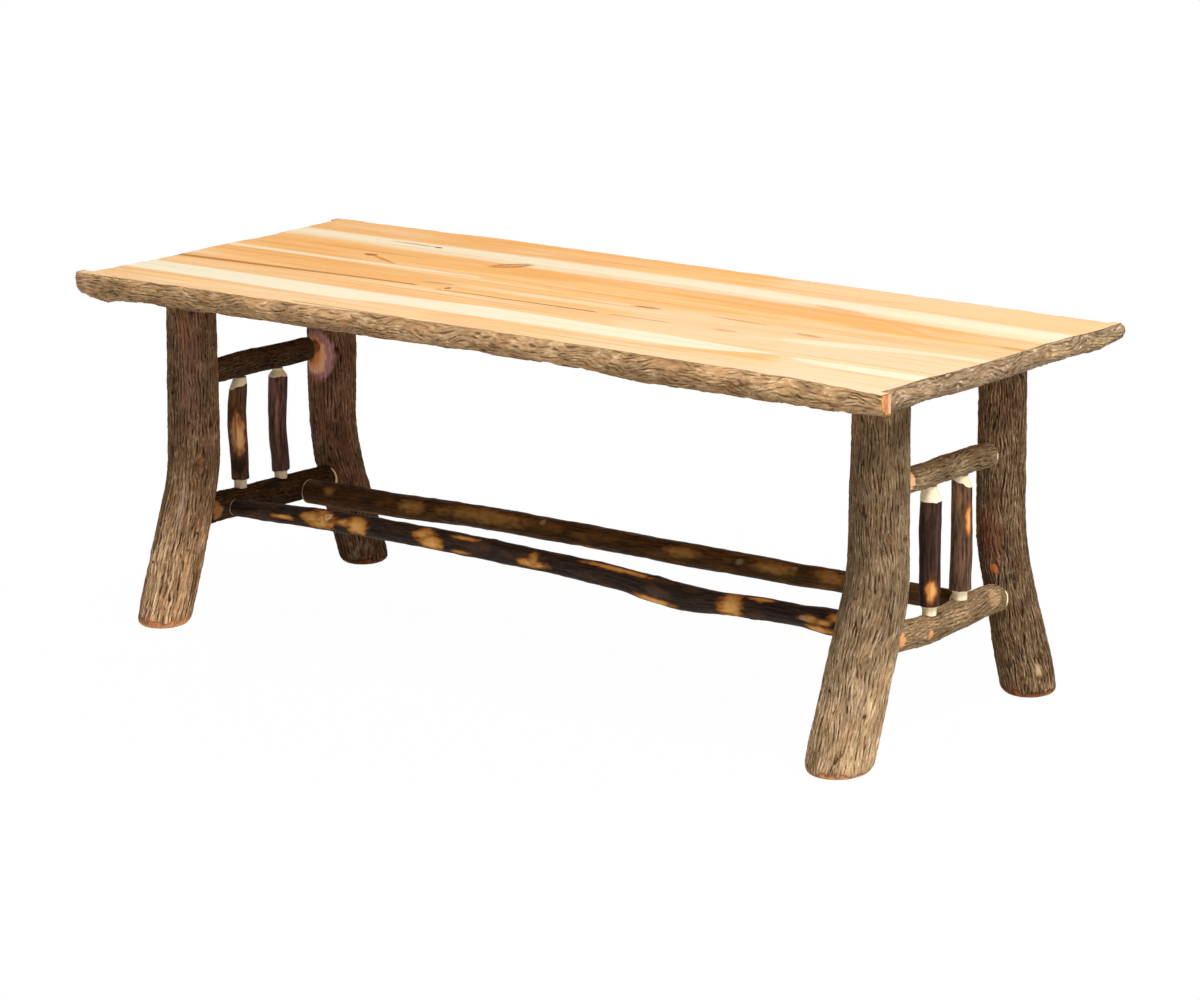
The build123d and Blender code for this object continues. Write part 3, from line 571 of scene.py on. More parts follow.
class Wiring:
    """A shader tree, with short words for the nodes that go into it."""

    def __init__(self, tree):
        self.tree = tree

    def give(self, socket, value):
        """Links a socket to another one, or sets its value."""
        if isinstance(value, bpy.types.NodeSocket):
            self.tree.links.new(value, socket)
        elif socket.type == "RGBA":
            socket.default_value = (*value[:3], 1)
        else:
            socket.default_value = value

    def node(self, kind, inputs, **choices):
        new = self.tree.nodes.new("ShaderNode" + kind)
        for name, value in choices.items():
            setattr(new, name, value)
        for name, value in inputs.items():
            self.give(new.inputs[name], value)
        return new

    def math(self, operation, first, second=0.0, third=0.0):
        return self.node("Math", {0: first, 1: second, 2: third}, operation=operation).outputs[0]

    def plus(self, first, second):
        return self.math("ADD", first, second)

    def times(self, first, second):
        return self.math("MULTIPLY", first, second)

    def stir(self, value, noise, amount):
        """A value pushed up and down by a noise."""
        return self.plus(value, self.math("MULTIPLY_ADD", noise, amount, -amount / 2))

    def rise(self, value, low, high, start=0.0, end=1.0):
        """A soft rise from start to end as the value goes from low to high."""
        ranges = {"Value": value, "From Min": low, "From Max": high, "To Min": start, "To Max": end}
        return self.node("MapRange", ranges, interpolation_type="SMOOTHSTEP").outputs["Result"]

    def mix(self, share, first, second, how="MIX"):
        """Two colours mixed."""
        inputs = {0: share, 6: first, 7: second}
        return self.node("Mix", inputs, data_type="RGBA", blend_type=how).outputs[2]

    def blend(self, share, first, second):
        """Two values mixed."""
        return self.node("Mix", {0: share, 2: first, 3: second}, data_type="FLOAT").outputs[0]

    def vector(self, operation, first, second=(0, 0, 0), third=(0, 0, 0)):
        return self.node("VectorMath", {0: first, 1: second, 2: third}, operation=operation).outputs

    def stretched(self, vector, scale, place=(0, 0, 0), turn=(0, 0, 0)):
        inputs = {"Vector": vector, "Scale": scale, "Location": place, "Rotation": turn}
        return self.node("Mapping", inputs).outputs["Vector"]

    def cloud(self, vector, scale, detail=3.0, roughness=0.55, distortion=0.0):
        inputs = {"Vector": vector, "Scale": scale, "Detail": detail, "Roughness": roughness,
                  "Distortion": distortion}
        return self.node("TexNoise", inputs).outputs["Fac"]

    def fibres(self, length, scale, detail, roughness, place=(0, 0, 0)):
        """Noise drawn out along a log."""
        along = self.stretched(self.attribute("log_place", "Vector"), (1, 1, length), place)
        return self.cloud(along, scale, detail, roughness)

    def attribute(self, name, output="Fac"):
        return self.node("Attribute", {}, attribute_name=name).outputs[output]

    def object_place(self):
        return self.node("TexCoord", {}).outputs["Object"]

    def use(self, group, **inputs):
        """Places an effect, with its own values."""
        new = self.node("Group", {}, node_tree=group)
        for name, value in inputs.items():
            self.give(new.inputs[name.replace("_", " ")], value)
        return new.outputs

    def seen_white(self, shader_socket, share):
        """Mixes plain white over a shader for what the camera sees, directly or in gloss and glass."""
        paths = self.node("LightPath", {}).outputs
        seen = self.math("MAXIMUM", self.math("MAXIMUM", paths["Is Camera Ray"], paths["Is Glossy Ray"]),
                         paths["Is Transmission Ray"])
        white = self.node("Emission", {"Color": (1, 1, 1), "Strength": 1.0}).outputs[0]
        return self.node("MixShader", {0: self.times(seen, share), 1: shader_socket, 2: white}).outputs[0]


class Finish(Wiring):
    """A new material, with its wiring and its shader."""

    def __init__(self, name):
        self.material = bpy.data.materials.new(name)
        self.material.use_nodes = True
        super().__init__(self.material.node_tree)
        self.shader = self.tree.nodes["Principled BSDF"]

    def connect(self, colour, roughness, height, strength, distance):
        """Links the results to the shader, with a bump for what is too fine to carve."""
        bump = self.node("Bump", {"Height": height, "Strength": strength, "Distance": distance})
        self.give(self.shader.inputs["Base Color"], colour)
        self.give(self.shader.inputs["Roughness"], roughness)
        self.give(self.shader.inputs["Normal"], bump.outputs["Normal"])
        return self.material


def effect(name, inputs, outputs):
    """Turns a function that wires an effect into one that gives its node group, made once."""
    def wrap(fill):
        def group():
            tree = bpy.data.node_groups.get(name)
            if tree is None:
                tree = bpy.data.node_groups.new(name, "ShaderNodeTree")
                for way, sockets in (("INPUT", inputs), ("OUTPUT", outputs)):
                    for socket, kind in sockets.items():
                        tree.interface.new_socket(socket, in_out=way, socket_type=kind)
                entry = tree.nodes.new("NodeGroupInput")
                leave = tree.nodes.new("NodeGroupOutput")
                for socket, result in fill(Wiring(tree), entry.outputs).items():
                    tree.links.new(result, leave.inputs[socket])
            return tree
        return group
    return wrap


# --------------------------------------------------------------------- effects
@effect("Weathered bark", {"Ridge": COLOUR, "Body": COLOUR, "Furrow": COLOUR, "Warm": COLOUR, "Fleck": COLOUR,
                           "Fleck Amount": VALUE}, SURFACE)
def weathered_bark(wire, given):
    """Bark that is lighter on its ridges and dark in its furrows, with pale flecks. The ridge and furrow
    colours are partly the bark's own, partly painted highlight on the ridges and painted shade in the
    furrows.
    """
    fibres = wire.fibres(0.22, 520, 4, 0.6)
    grit = wire.fibres(0.6, 1100, 2, 0.5)
    broad = wire.fibres(0.55, 42, 4, 0.6)
    warm = wire.fibres(0.35, 60, 3, 0.6, (3, 1, 7))
    pale = wire.fibres(0.45, 330, 3, 0.62, (9, 4, 2))
    worn = wire.stir(wire.stir(wire.attribute("bark"), fibres, 1.3), grit, 0.6)
    colour = wire.mix(wire.rise(worn, -0.1, 0.5), given["Furrow"], given["Body"])
    colour = wire.mix(wire.rise(worn, 0.5, 1.05), colour, given["Ridge"])
    colour = wire.mix(wire.rise(warm, 0.46, 0.72, 0, 0.5), colour, given["Warm"])
    flecks = wire.rise(wire.plus(pale, wire.times(worn, 0.12)), 0.66, 0.76)
    colour = wire.mix(wire.times(flecks, given["Fleck Amount"]), colour, given["Fleck"])
    shade = wire.rise(broad, 0.3, 0.7, 0.7, 1.28)
    shade = wire.node("CombineColor", {0: shade, 1: shade, 2: shade}).outputs[0]
    return {"Color": wire.mix(1.0, colour, shade, "MULTIPLY"),
            "Roughness": wire.rise(worn, 0.1, 1.0, 0.96, 0.8),
            "Height": wire.plus(wire.times(fibres, 0.7), wire.times(grit, 0.4))}


@effect("Tight bark", {"Dark": COLOUR, "Body": COLOUR, "Warm": COLOUR, "Sheen": COLOUR}, SURFACE)
def tight_bark(wire, given):
    """Smooth dark bark with long faint streaks, and pale grey flecks of a painted sheen."""
    streaks = wire.fibres(0.08, 420, 4, 0.6)
    broad = wire.fibres(0.3, 60, 3, 0.55)
    grit = wire.fibres(0.5, 900, 2, 0.5)
    colour = wire.mix(wire.rise(streaks, 0.35, 0.68), given["Dark"], given["Body"])
    colour = wire.mix(wire.rise(broad, 0.5, 0.74), colour, given["Warm"])
    return {"Color": wire.mix(wire.rise(grit, 0.62, 0.78, 0, 0.35), colour, given["Sheen"]),
            "Roughness": wire.rise(broad, 0.3, 0.7, 0.42, 0.62),
            "Height": wire.plus(streaks, wire.times(grit, 0.5))}


@effect("Inner bark", {"Orange": COLOUR, "Deep": COLOUR, "Pale": COLOUR, "Mask": VALUE},
        {**SURFACE, "Share": VALUE})
def inner_bark(wire, given):
    """The layer under the outer bark: dark brown at a patch's edge, then orange, then pale tan."""
    streaks = wire.fibres(0.09, 330, 4, 0.6, (1, 5, 3))
    mottle = wire.fibres(0.4, 150, 4, 0.6, (7, 2, 8))
    worn = wire.stir(wire.stir(given["Mask"], streaks, 0.8), mottle, 0.4)
    colour = wire.mix(wire.rise(worn, 0.25, 0.8), given["Deep"], given["Orange"])
    return {"Color": wire.mix(wire.rise(worn, 0.8, 1.15), colour, given["Pale"]),
            "Roughness": wire.rise(streaks, 0.3, 0.7, 0.5, 0.66), "Height": streaks,
            "Share": wire.rise(worn, 0.05, 0.5)}


@effect("Ragged mask", {"Mask": VALUE}, {"Mask": VALUE})
def ragged_mask(wire, given):
    """A soft mask cut to a slightly ragged edge."""
    tear = wire.fibres(0.4, 380, 4, 0.65, (2, 8, 5))
    return {"Mask": wire.rise(wire.stir(given["Mask"], tear, 0.5), 0.4, 0.6)}


@effect("Cut wood", {"Wood": COLOUR, "Grain": COLOUR, "Tan": COLOUR}, SURFACE)
def cut_wood(wire, given):
    """Bare wood where a log is whittled or sawn, with fine grain along the log."""
    grain = wire.fibres(0.12, 650, 4, 0.6, (4, 4, 1))
    broad = wire.fibres(0.4, 90, 3, 0.5, (6, 1, 1))
    colour = wire.mix(wire.rise(grain, 0.35, 0.68), given["Grain"], given["Wood"])
    return {"Color": wire.mix(wire.rise(broad, 0.48, 0.75, 0, 0.6), colour, given["Tan"]),
            "Roughness": wire.rise(grain, 0.3, 0.7, 0.62, 0.5), "Height": grain}


@effect("Plank grain", {"Place": VECTOR, "Offset": VECTOR, "Rings": VALUE, "Heartwood": COLOUR,
                        "Dark": COLOUR, "Sapwood": COLOUR, "Pore": COLOUR, "Pale Share": VALUE},
        {**SURFACE, "Lines": VALUE})
def plank_grain(wire, given):
    """Planed wood with long grain lines, growth figure and pores."""
    place = wire.vector("ADD", given["Place"], given["Offset"])[0]
    figure = wire.cloud(wire.stretched(place, (1.1, 9, 1)), 1.0, 2, 0.45, 0.3)
    fine = wire.cloud(wire.stretched(place, (2.2, 130, 20)), 1.0, 5, 0.62)
    lines = wire.cloud(wire.stretched(place, (5, 520, 60)), 1.0, 3, 0.6)
    pores = wire.cloud(wire.stretched(place, (90, 1500, 300)), 1.0, 2, 0.5)
    broad = wire.cloud(wire.stretched(place, (1.4, 14, 3), (5, 5, 5)), 1.0, 3, 0.6)
    light = wire.cloud(wire.stretched(place, (2.5, 24, 3), (2, 8, 1)), 1.0, 3, 0.6, 0.5)
    late = wire.rise(wire.math("PINGPONG", wire.times(figure, given["Rings"]), 1.0), 0.62, 1.0)
    heart = wire.mix(wire.rise(broad, 0.35, 0.72, 0.0, 0.5), given["Heartwood"], given["Dark"])
    heart = wire.mix(wire.times(late, 0.35), heart, given["Dark"])
    pale = wire.plus(given["Pale Share"], wire.rise(light, 0.45, 0.75, -0.1, 0.42))
    heart = wire.mix(wire.node("Clamp", {0: pale}).outputs[0], heart, given["Sapwood"])
    colour = wire.mix(wire.rise(fine, 0.48, 0.7, 0, 0.5), heart, given["Dark"])
    dark_pores = wire.rise(wire.stir(pores, lines, 0.4), 0.6, 0.74, 0, 0.3)
    return {"Color": wire.mix(dark_pores, colour, given["Pore"]),
            "Roughness": wire.rise(lines, 0.3, 0.7, 0.4, 0.52),
            "Height": wire.math("SUBTRACT", wire.times(lines, 0.5), dark_pores),
            "Lines": wire.rise(fine, 0.52, 0.74, 0, 0.3)}


# ------------------------------------------------------------------- materials
ORANGE_LAYER = {"Orange": srgb(190, 130, 64), "Deep": srgb(96, 58, 30), "Pale": srgb(230, 184, 116)}
RED_LAYER = {"Orange": srgb(150, 84, 52), "Deep": srgb(96, 48, 30), "Pale": srgb(190, 136, 100)}
SOFT_LAYER = {"Orange": srgb(196, 132, 88), "Deep": srgb(140, 88, 58), "Pale": srgb(226, 178, 128)}
CREAM = {"Wood": srgb(255, 244, 220), "Grain": srgb(246, 222, 180), "Tan": srgb(248, 224, 178)}
# Ridge and Furrow colours are partly the bark's own, partly painted highlight and painted shade.
ROUGH_SOCKETS = ("Ridge", "Body", "Furrow", "Warm", "Fleck", "Fleck_Amount")
# The last tight-bark colour is a painted sheen, flecked over the bark.
TIGHT_SOCKETS = ("Dark", "Body", "Warm", "Sheen")
# Strength and depth of the bump of each kind of bark.
ROUGH_BUMP, TIGHT_BUMP = (0.55, 0.7 * MM), (0.35, 0.5 * MM)
# How far behind and before the middle of the top a sawn end's pale wood reaches.
BAST_LINE = 240 * MM


def log_material(name, look, bark_effect, sockets, bump):
    """Bark over an inner layer over cut wood, each shown where the log's masks say so."""
    finish = Finish(name + "_bark")
    bark = finish.use(bark_effect(), **dict(zip(sockets, look.bark)))
    wood = finish.use(ragged_mask(), Mask=finish.attribute("wood"))["Mask"]
    under = finish.use(inner_bark(), Mask=finish.attribute("peel"), **look.layer)
    cut = finish.use(cut_wood(), **CREAM)
    # The keep mask carries the painted shading of legs and edge logs as well as the dabs' cover.
    keep = finish.attribute("keep")
    keep = finish.node("CombineXYZ", {0: keep, 1: keep, 2: keep}).outputs[0]
    peel = under["Share"]
    colour = finish.mix(peel, bark["Color"], under["Color"])
    colour = finish.vector("MULTIPLY_ADD", colour, keep, finish.attribute("paint", "Vector"))[0]
    colour = finish.mix(wood, colour, cut["Color"])
    rough = finish.blend(peel, bark["Roughness"], under["Roughness"])
    rough = finish.blend(wood, rough, cut["Roughness"])
    height = finish.blend(peel, bark["Height"], finish.times(under["Height"], 0.4))
    height = finish.blend(wood, height, finish.times(cut["Height"], 0.3))
    finish.shader.inputs["Specular IOR Level"].default_value = 0.03
    return finish.connect(colour, rough, height, *bump)


def rough_material(name, look):
    return log_material(name, look, weathered_bark, ROUGH_SOCKETS, ROUGH_BUMP)


def tight_material(name, look):
    return log_material(name, look, tight_bark, TIGHT_SOCKETS, TIGHT_BUMP)


class Band:
    """A band along the planks: rows of x, front edge and back edge in millimetres, and its look."""

    def __init__(self, *rows, soft=5.0, strength=1.0, colour=None):
        self.rows, self.soft, self.strength, self.colour = rows, soft, strength, colour


class Spot:
    """A knot or streak in a plank: its middle, how it is turned, its length and width in millimetres."""

    def __init__(self, x, y, turn, length, width, colour, strength=0.9):
        self.x, self.y, self.turn, self.length, self.width = x, y, turn, length, width
        self.colour, self.strength = srgb(*colour), strength


# Lengths and widths that a band's curves cover, centred on the top, in millimetres.
CURVE_LENGTH, CURVE_WIDTH = 1300.0, 600.0
# A band that reaches further than this runs on over the end of the top.
TOP_END = 620


def band_edge(wire, x, y, band, column, way):
    """1 on the inner side of a band's edge, which follows one column of its rows."""
    line = wire.node("FloatCurve", {"Value": wire.math("MULTIPLY_ADD", x, 1000 / CURVE_LENGTH, 0.5)})
    curve = line.mapping.curves[0]
    for index, row in enumerate(band.rows):
        at = (row[0] / CURVE_LENGTH + 0.5, row[column] / CURVE_WIDTH + 0.5)
        if index < 2:
            curve.points[index].location = at
        else:
            curve.points.new(*at)
    for point in curve.points:
        point.handle_type = "AUTO_CLAMPED"
    line.mapping.update()
    edge = wire.math("MULTIPLY_ADD", line.outputs[0], CURVE_WIDTH / 1000, -CURVE_WIDTH / 2000)
    off = wire.times(wire.math("SUBTRACT", y, edge), way)
    return wire.rise(off, -band.soft * MM, band.soft * MM)


def band_mask(wire, place, band):
    """1 inside a band and 0 outside it."""
    wander = wire.cloud(wire.stretched(place, (4, 30, 1)), 1.0, 3, 0.6)
    x, y = wire.node("SeparateXYZ", {0: place}).outputs[:2]
    y = wire.stir(y, wander, 2.4 * band.soft * MM)
    mask = wire.times(band_edge(wire, x, y, band, 1, 1), band_edge(wire, x, y, band, 2, -1))
    for end, way in ((band.rows[0][0], 1), (band.rows[-1][0], -1)):
        if abs(end) < TOP_END:
            off = wire.times(wire.math("SUBTRACT", x, end * MM), way)
            mask = wire.times(mask, wire.rise(off, 0.0, max(6 * band.soft, 12) * MM))
    return mask


def spot_mask(wire, place, spot):
    """A spot's strength inside it and 0 outside it."""
    shifted = wire.stretched(place, (1, 1, 1), (-spot.x * MM, -spot.y * MM, 0))
    turned = wire.stretched(shifted, (1, 1, 1), turn=(0, 0, -math.radians(spot.turn)))
    across = wire.stretched(turned, (2000 / spot.length, 2000 / spot.width, 0))
    distance = wire.stir(wire.vector("LENGTH", across)["Value"], wire.cloud(place, 160, 3, 0.6), 0.8)
    return wire.rise(distance, 0.55, 1.1, spot.strength, 0.0)


def top_material():
    """The wood of the whole top: each plank's own grain, bands of other colours, streaks and knots."""
    finish = Finish("table_top_wood")
    wood = settings().wood
    place = finish.object_place()
    depth = finish.node("SeparateXYZ", {0: place}).outputs[1]
    plank = 0.0
    pale = PALE_SHARES[0]
    for joint, change in zip(JOINTS, np.diff(PALE_SHARES)):
        behind = finish.math("GREATER_THAN", depth, joint * MM)
        plank = finish.plus(plank, behind)
        pale = finish.math("MULTIPLY_ADD", behind, float(change), pale)
    offset = finish.node("CombineXYZ", {0: finish.times(plank, 2.37), 1: finish.times(plank, 1.71)})
    sapwood = tuple(wood.sapwood)
    grain = finish.use(
        plank_grain(), Place=place, Offset=offset.outputs[0], Rings=9.0, Heartwood=tuple(wood.heartwood),
        Dark=tuple(wood.dark_heartwood), Sapwood=sapwood, Pore=srgb(150, 96, 50), Pale_Share=pale)
    colour = grain["Color"]
    for band in BANDS:
        share = finish.times(band_mask(finish, place, band), band.strength)
        colour = finish.mix(share, colour, band.colour or sapwood)
    for spot in SPOTS:
        colour = finish.mix(spot_mask(finish, place, spot), colour, spot.colour)
    colour = finish.mix(grain["Lines"], colour, srgb(206, 148, 92))
    finish.shader.inputs["Specular IOR Level"].default_value = 0.01
    return finish.connect(colour, grain["Roughness"], grain["Height"], 0.12, 0.2 * MM)


def end_material():
    """A sawn half log's end: orange bast outside, and pale wood next to the planks."""
    finish = Finish("edge_log_end_grain")
    place = finish.object_place()
    ragged = finish.cloud(place, 160, 3, 0.6)
    depth = finish.stir(finish.node("SeparateXYZ", {0: place}).outputs[1], ragged, 4 * MM)
    inside = finish.rise(finish.math("ABSOLUTE", depth), BAST_LINE + 1 * MM, BAST_LINE - 1 * MM)
    colour = finish.mix(finish.rise(ragged, 0.35, 0.7), srgb(178, 108, 62), srgb(206, 136, 86))
    colour = finish.mix(inside, colour, srgb(214, 164, 122))
    return finish.connect(colour, finish.rise(ragged, 0.2, 0.8, 0.55, 0.7), ragged, 0.3, 0.3 * MM)


# ------------------------------------------------------------------ pieces: legs
# Painted shades give how light a leg's bark is painted at heights in millimetres: painted shade, mostly
# darker higher up under the top, where its shadow falls. Its outer bark is worn off up to its rim.
LEG_LOOKS = {
    "front_left_leg": Look(
        11, [(222, 186, 146), (156, 121, 88), (68, 49, 34), (164, 112, 80), (232, 206, 170), 0.6],
        [Knot(207, -30, 6.0, 1.2, 0, 1.7), Knot(318, -95, 4.5, 1.0), Knot(120, 60, 5, 1.4),
         Knot(300, 150, 6, 1.5)],
        [Dab(378, -68, 60, 9, (150, 94, 68), 0.6, 0.4), Dab(330, -55, 130, 26, (140, 98, 84), 0.4, 0.6),
         Dab(206, -30, 20, 7, (196, 132, 96), 0.5, 0.4), Dab(217, -38, 16, 4, (196, 132, 96), 0.4, 0.4, 30),
         Dab(56, -24, 92, 8, (206, 160, 108), 0.4, 0.5), Dab(150, -62, 60, 9, (214, 184, 160), 0.45, 0.5),
         Dab(70, -80, 90, 7, (228, 196, 150), 0.5, 0.5), Dab(60, -104, 70, 6, (224, 190, 146), 0.5, 0.5)],
        SOFT_LAYER, painted_shades=((0, 1.04), (100, 1.0), (170, 0.76), (200, 0.6), (300, 0.47), (422, 0.46)),
        streaks=0.9, rim=10),
    "front_right_leg": Look(
        23, [(226, 196, 158), (168, 138, 102), (86, 64, 42), (174, 134, 94), (236, 212, 178), 0.4],
        [Knot(266, -36, 4.5, 1.4), Knot(252, -142, 5, 3.0), Knot(130, -47, 5, 0.8, 0.0, 0.8),
         Knot(71, -31, 2.5), Knot(310, 100, 6, 1.6), Knot(150, 150, 6, 1.6)],
        [Dab(266, -38, 12, 9, (128, 92, 64), 0.5), Dab(131, -46, 4, 26, (104, 80, 56), 0.4, 0.5, -28),
         Dab(89, -30, 34, 5, (240, 212, 166), 0.3, 0.6, -16),
         Dab(70, -31, 5, 5, (70, 48, 32), 0.9)],
        SOFT_LAYER, painted_shades=((0, 0.9), (110, 0.8), (170, 0.49), (210, 0.42), (290, 0.42), (422, 0.45)),
        streaks=0.3, rim=6),
    "back_left_leg": Look(
        37, [(166, 134, 108), (118, 88, 66), (54, 37, 26), (134, 88, 60), (192, 164, 134), 0.4],
        [Knot(120, -60, 5, 1.2), Knot(240, 60, 6, 1.6)],
        [Dab(304, -88, 66, 52, (206, 156, 162), 0.85, 0.14), Dab(304, -92, 56, 38, (130, 72, 60), 0.8, 0.1),
         Dab(304, -92, 53, 35, (255, 198, 156), 0.94, 0.12), Dab(306, -99, 40, 24, (232, 146, 82), 0.94, 0.3),
         Dab(306, -108, 26, 16, (104, 62, 36), 0.75, 0.4), Dab(272, -98, 15, 24, (156, 80, 50), 0.6, 0.5),
         Dab(68, 70, 16, 12, (170, 104, 66), 0.7), Dab(17, -64, 13, 5, (196, 184, 158), 0.7, 0.4),
         Dab(26, -56, 15, 5, (186, 174, 148), 0.65, 0.4, 30), Dab(33, -70, 9, 6, (178, 166, 140), 0.6, 0.4),
         Dab(36, -46, 10, 6, (168, 154, 128), 0.5, 0.4), Dab(29, -32, 9, 6, (168, 154, 128), 0.5, 0.4),
         Dab(14, -76, 8, 5, (178, 166, 140), 0.6, 0.4, -30)],
        RED_LAYER, painted_shades=((0, 0.95), (200, 0.95), (422, 0.86)), streaks=0.2, rim=8),
    "back_right_leg": Look(
        53, [(204, 172, 134), (126, 98, 70), (54, 37, 24), (132, 94, 62), (218, 194, 158), 0.5],
        [Knot(281, 19, 5.5, 3.0), Knot(175, -80, 4.5, 0.6), Knot(96, 120, 6, 1.6)],
        [Dab(212, -86, 70, 34, (112, 62, 44), 0.5, 0.5), Dab(175, -81, 13, 10, (206, 118, 66), 0.85),
         Dab(40, -27, 16, 7, (222, 190, 146), 0.5, 0.5)],
        RED_LAYER, painted_shades=((0, 0.74), (200, 0.48), (422, 0.64)), streaks=0.2, rim=8),
}
FOOT_ROUND = 12 * MM
KNEE_HIGH, KNEE_LOW = 190 * MM, 130 * MM


class LOGTABLE_OT_legs(Operator):
    """Make the four bark-on legs"""

    bl_idname = "logtable.legs"
    bl_label = "Legs"

    def execute(self, context):
        bark = settings().bark
        for name, look in LEG_LOOKS.items():
            low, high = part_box(name)
            log = Log(name, Z, (low.z, high.z), bark.leg_rows + 1, bark.leg_columns, look.seed,
                      (FOOT_ROUND, 0), margin=FOOT_ROUND + 2 * MM)
            relief, height, peel = rough_bark(log, look.knots, 1.15)
            edges = np.sin(np.clip(log.down / FOOT_ROUND, 0, 1) * math.pi / 2)[:, None]
            relief = relief * (0.25 + 0.75 * edges)
            chips = log.noise(9, 12)
            rim = look.rim * MM
            peel = np.maximum(peel, step_up(rim * 1.4, rim * 0.5, log.along + 2.0 * MM * chips))
            # Painted shade: the bark's colour is darkened by height, standing in for the shade under the top.
            heights, painted_shades = np.transpose(look.painted_shades)
            painted_shading = np.interp(log.down, heights * MM, painted_shades)[:, None] * np.ones_like(peel)
            streaks = log.noise(80, 5)
            low_part = step_up(KNEE_HIGH, KNEE_LOW, log.along)
            height = height + 0.18 * look.streaks * streaks * (0.3 + 0.7 * low_part)
            masks = {"bark": height, "peel": peel, "wood": np.zeros_like(peel),
                     **paint(log, look.dabs, height, painted_shading, 0.05)}
            log.build("rough_bark", relief, masks, [rough_material(name, look)])
        return {"FINISHED"}


# ------------------------------------------------- pieces: rails of the end frames
# A turn of 90 degrees on a rail faces the right end, and 0 faces up. A shoulder is a bare facet at the back
# end: from one turn to another, and its length in millimetres. A neck is whittled off all round.
RAIL_LOOKS = {
    "left_upper_rail": Look(
        61, [(96, 78, 58), (66, 49, 34), (28, 18, 12), (84, 60, 40), (150, 128, 98), 0.4],
        [Knot(20, 60, 5, 1.2)], shoulder=None, neck=20),
    "right_upper_rail": Look(
        67, [(168, 146, 113), (124, 103, 76), (70, 54, 38), (130, 100, 71), (204, 182, 148), 0.4],
        [Knot(4, 20, 6, 3.2), Knot(-40, -90, 5, 1.0)],
        [Dab(-83, 76, 14, 26, (238, 184, 138), 0.9, 0.15), Dab(-75, 76, 3, 30, (110, 78, 52), 0.6)],
        shoulder=(60, 120, 0.5), neck=0),
    "left_lower_rail": Look(
        71, [(92, 72, 50), (60, 44, 29), (27, 18, 12), (84, 56, 36), (150, 124, 96), 0.4],
        [Knot(-60, -80, 6, 1.5)], [Dab(-114, 85, 16, 24, (180, 126, 74), 0.85)],
        shoulder=(20, 120, 4.0), neck=0),
    "right_lower_rail": Look(
        73, [(168, 142, 108), (123, 100, 72), (74, 57, 39), (132, 101, 70), (208, 184, 148), 0.5],
        [Knot(-43, 88, 5, 0.8), Knot(60, -60, 6, 1.6)],
        [Dab(-102, 90, 12, 18, (226, 156, 98), 0.85), Dab(-43, 92, 9, 13, (226, 156, 98), 0.85),
         Dab(96, 70, 22, 20, (200, 160, 116), 0.4)],
        shoulder=(20, 140, 2.0), neck=0),
}
RAIL_ROWS, RAIL_COLUMNS = 181, 100
RAIL_TENON = 11 * MM
RAIL_END_ROUND = 4.5 * MM


def shoulder_wood(log, from_end, shoulder):
    """1 where a rail's end is cut to bare wood on one side."""
    turn_from, turn_to, depth = shoulder
    _, off = log.spot(log.start, (turn_from + turn_to) / 2)
    off = np.abs(off) / log.girth * 360
    inside = 1 - step_up(0.75, 1.05, off / ((turn_to - turn_from) / 2))
    return step_up(0.6 * MM, -0.6 * MM, from_end - (depth + 3.0) * MM * inside) * inside


class LOGTABLE_OT_rails(Operator):
    """Make the upper and lower rails of both end frames"""

    bl_idname = "logtable.rails"
    bl_label = "Rails"

    def execute(self, context):
        for name, look in RAIL_LOOKS.items():
            span = Probe(name, Y).body(RAIL_TENON)
            log = Log(name, Y, span, RAIL_ROWS, RAIL_COLUMNS, look.seed, (RAIL_END_ROUND, RAIL_END_ROUND))
            relief, height, peel = rough_bark(log, look.knots, 1.0, 0.6, 0.6)
            relief = relief - 0.3 * MM
            wood = np.zeros_like(peel)
            from_end = log.length - log.along + 0.8 * MM * log.noise(7, 9)
            if look.shoulder:
                wood = shoulder_wood(log, from_end, look.shoulder)
            if look.neck:
                neck = step_up(look.neck * MM, look.neck * MM - 6 * MM, from_end)
                relief = relief + 0.42 * log.radius[:, None] * neck
                peel = np.maximum(peel, 0.5 * neck)
            masks = {"bark": height, "peel": peel, "wood": wood, **paint(log, look.dabs, height, 1.0)}
            log.build("rough_bark", relief, masks, [rough_material(name, look)])
        return {"FINISHED"}
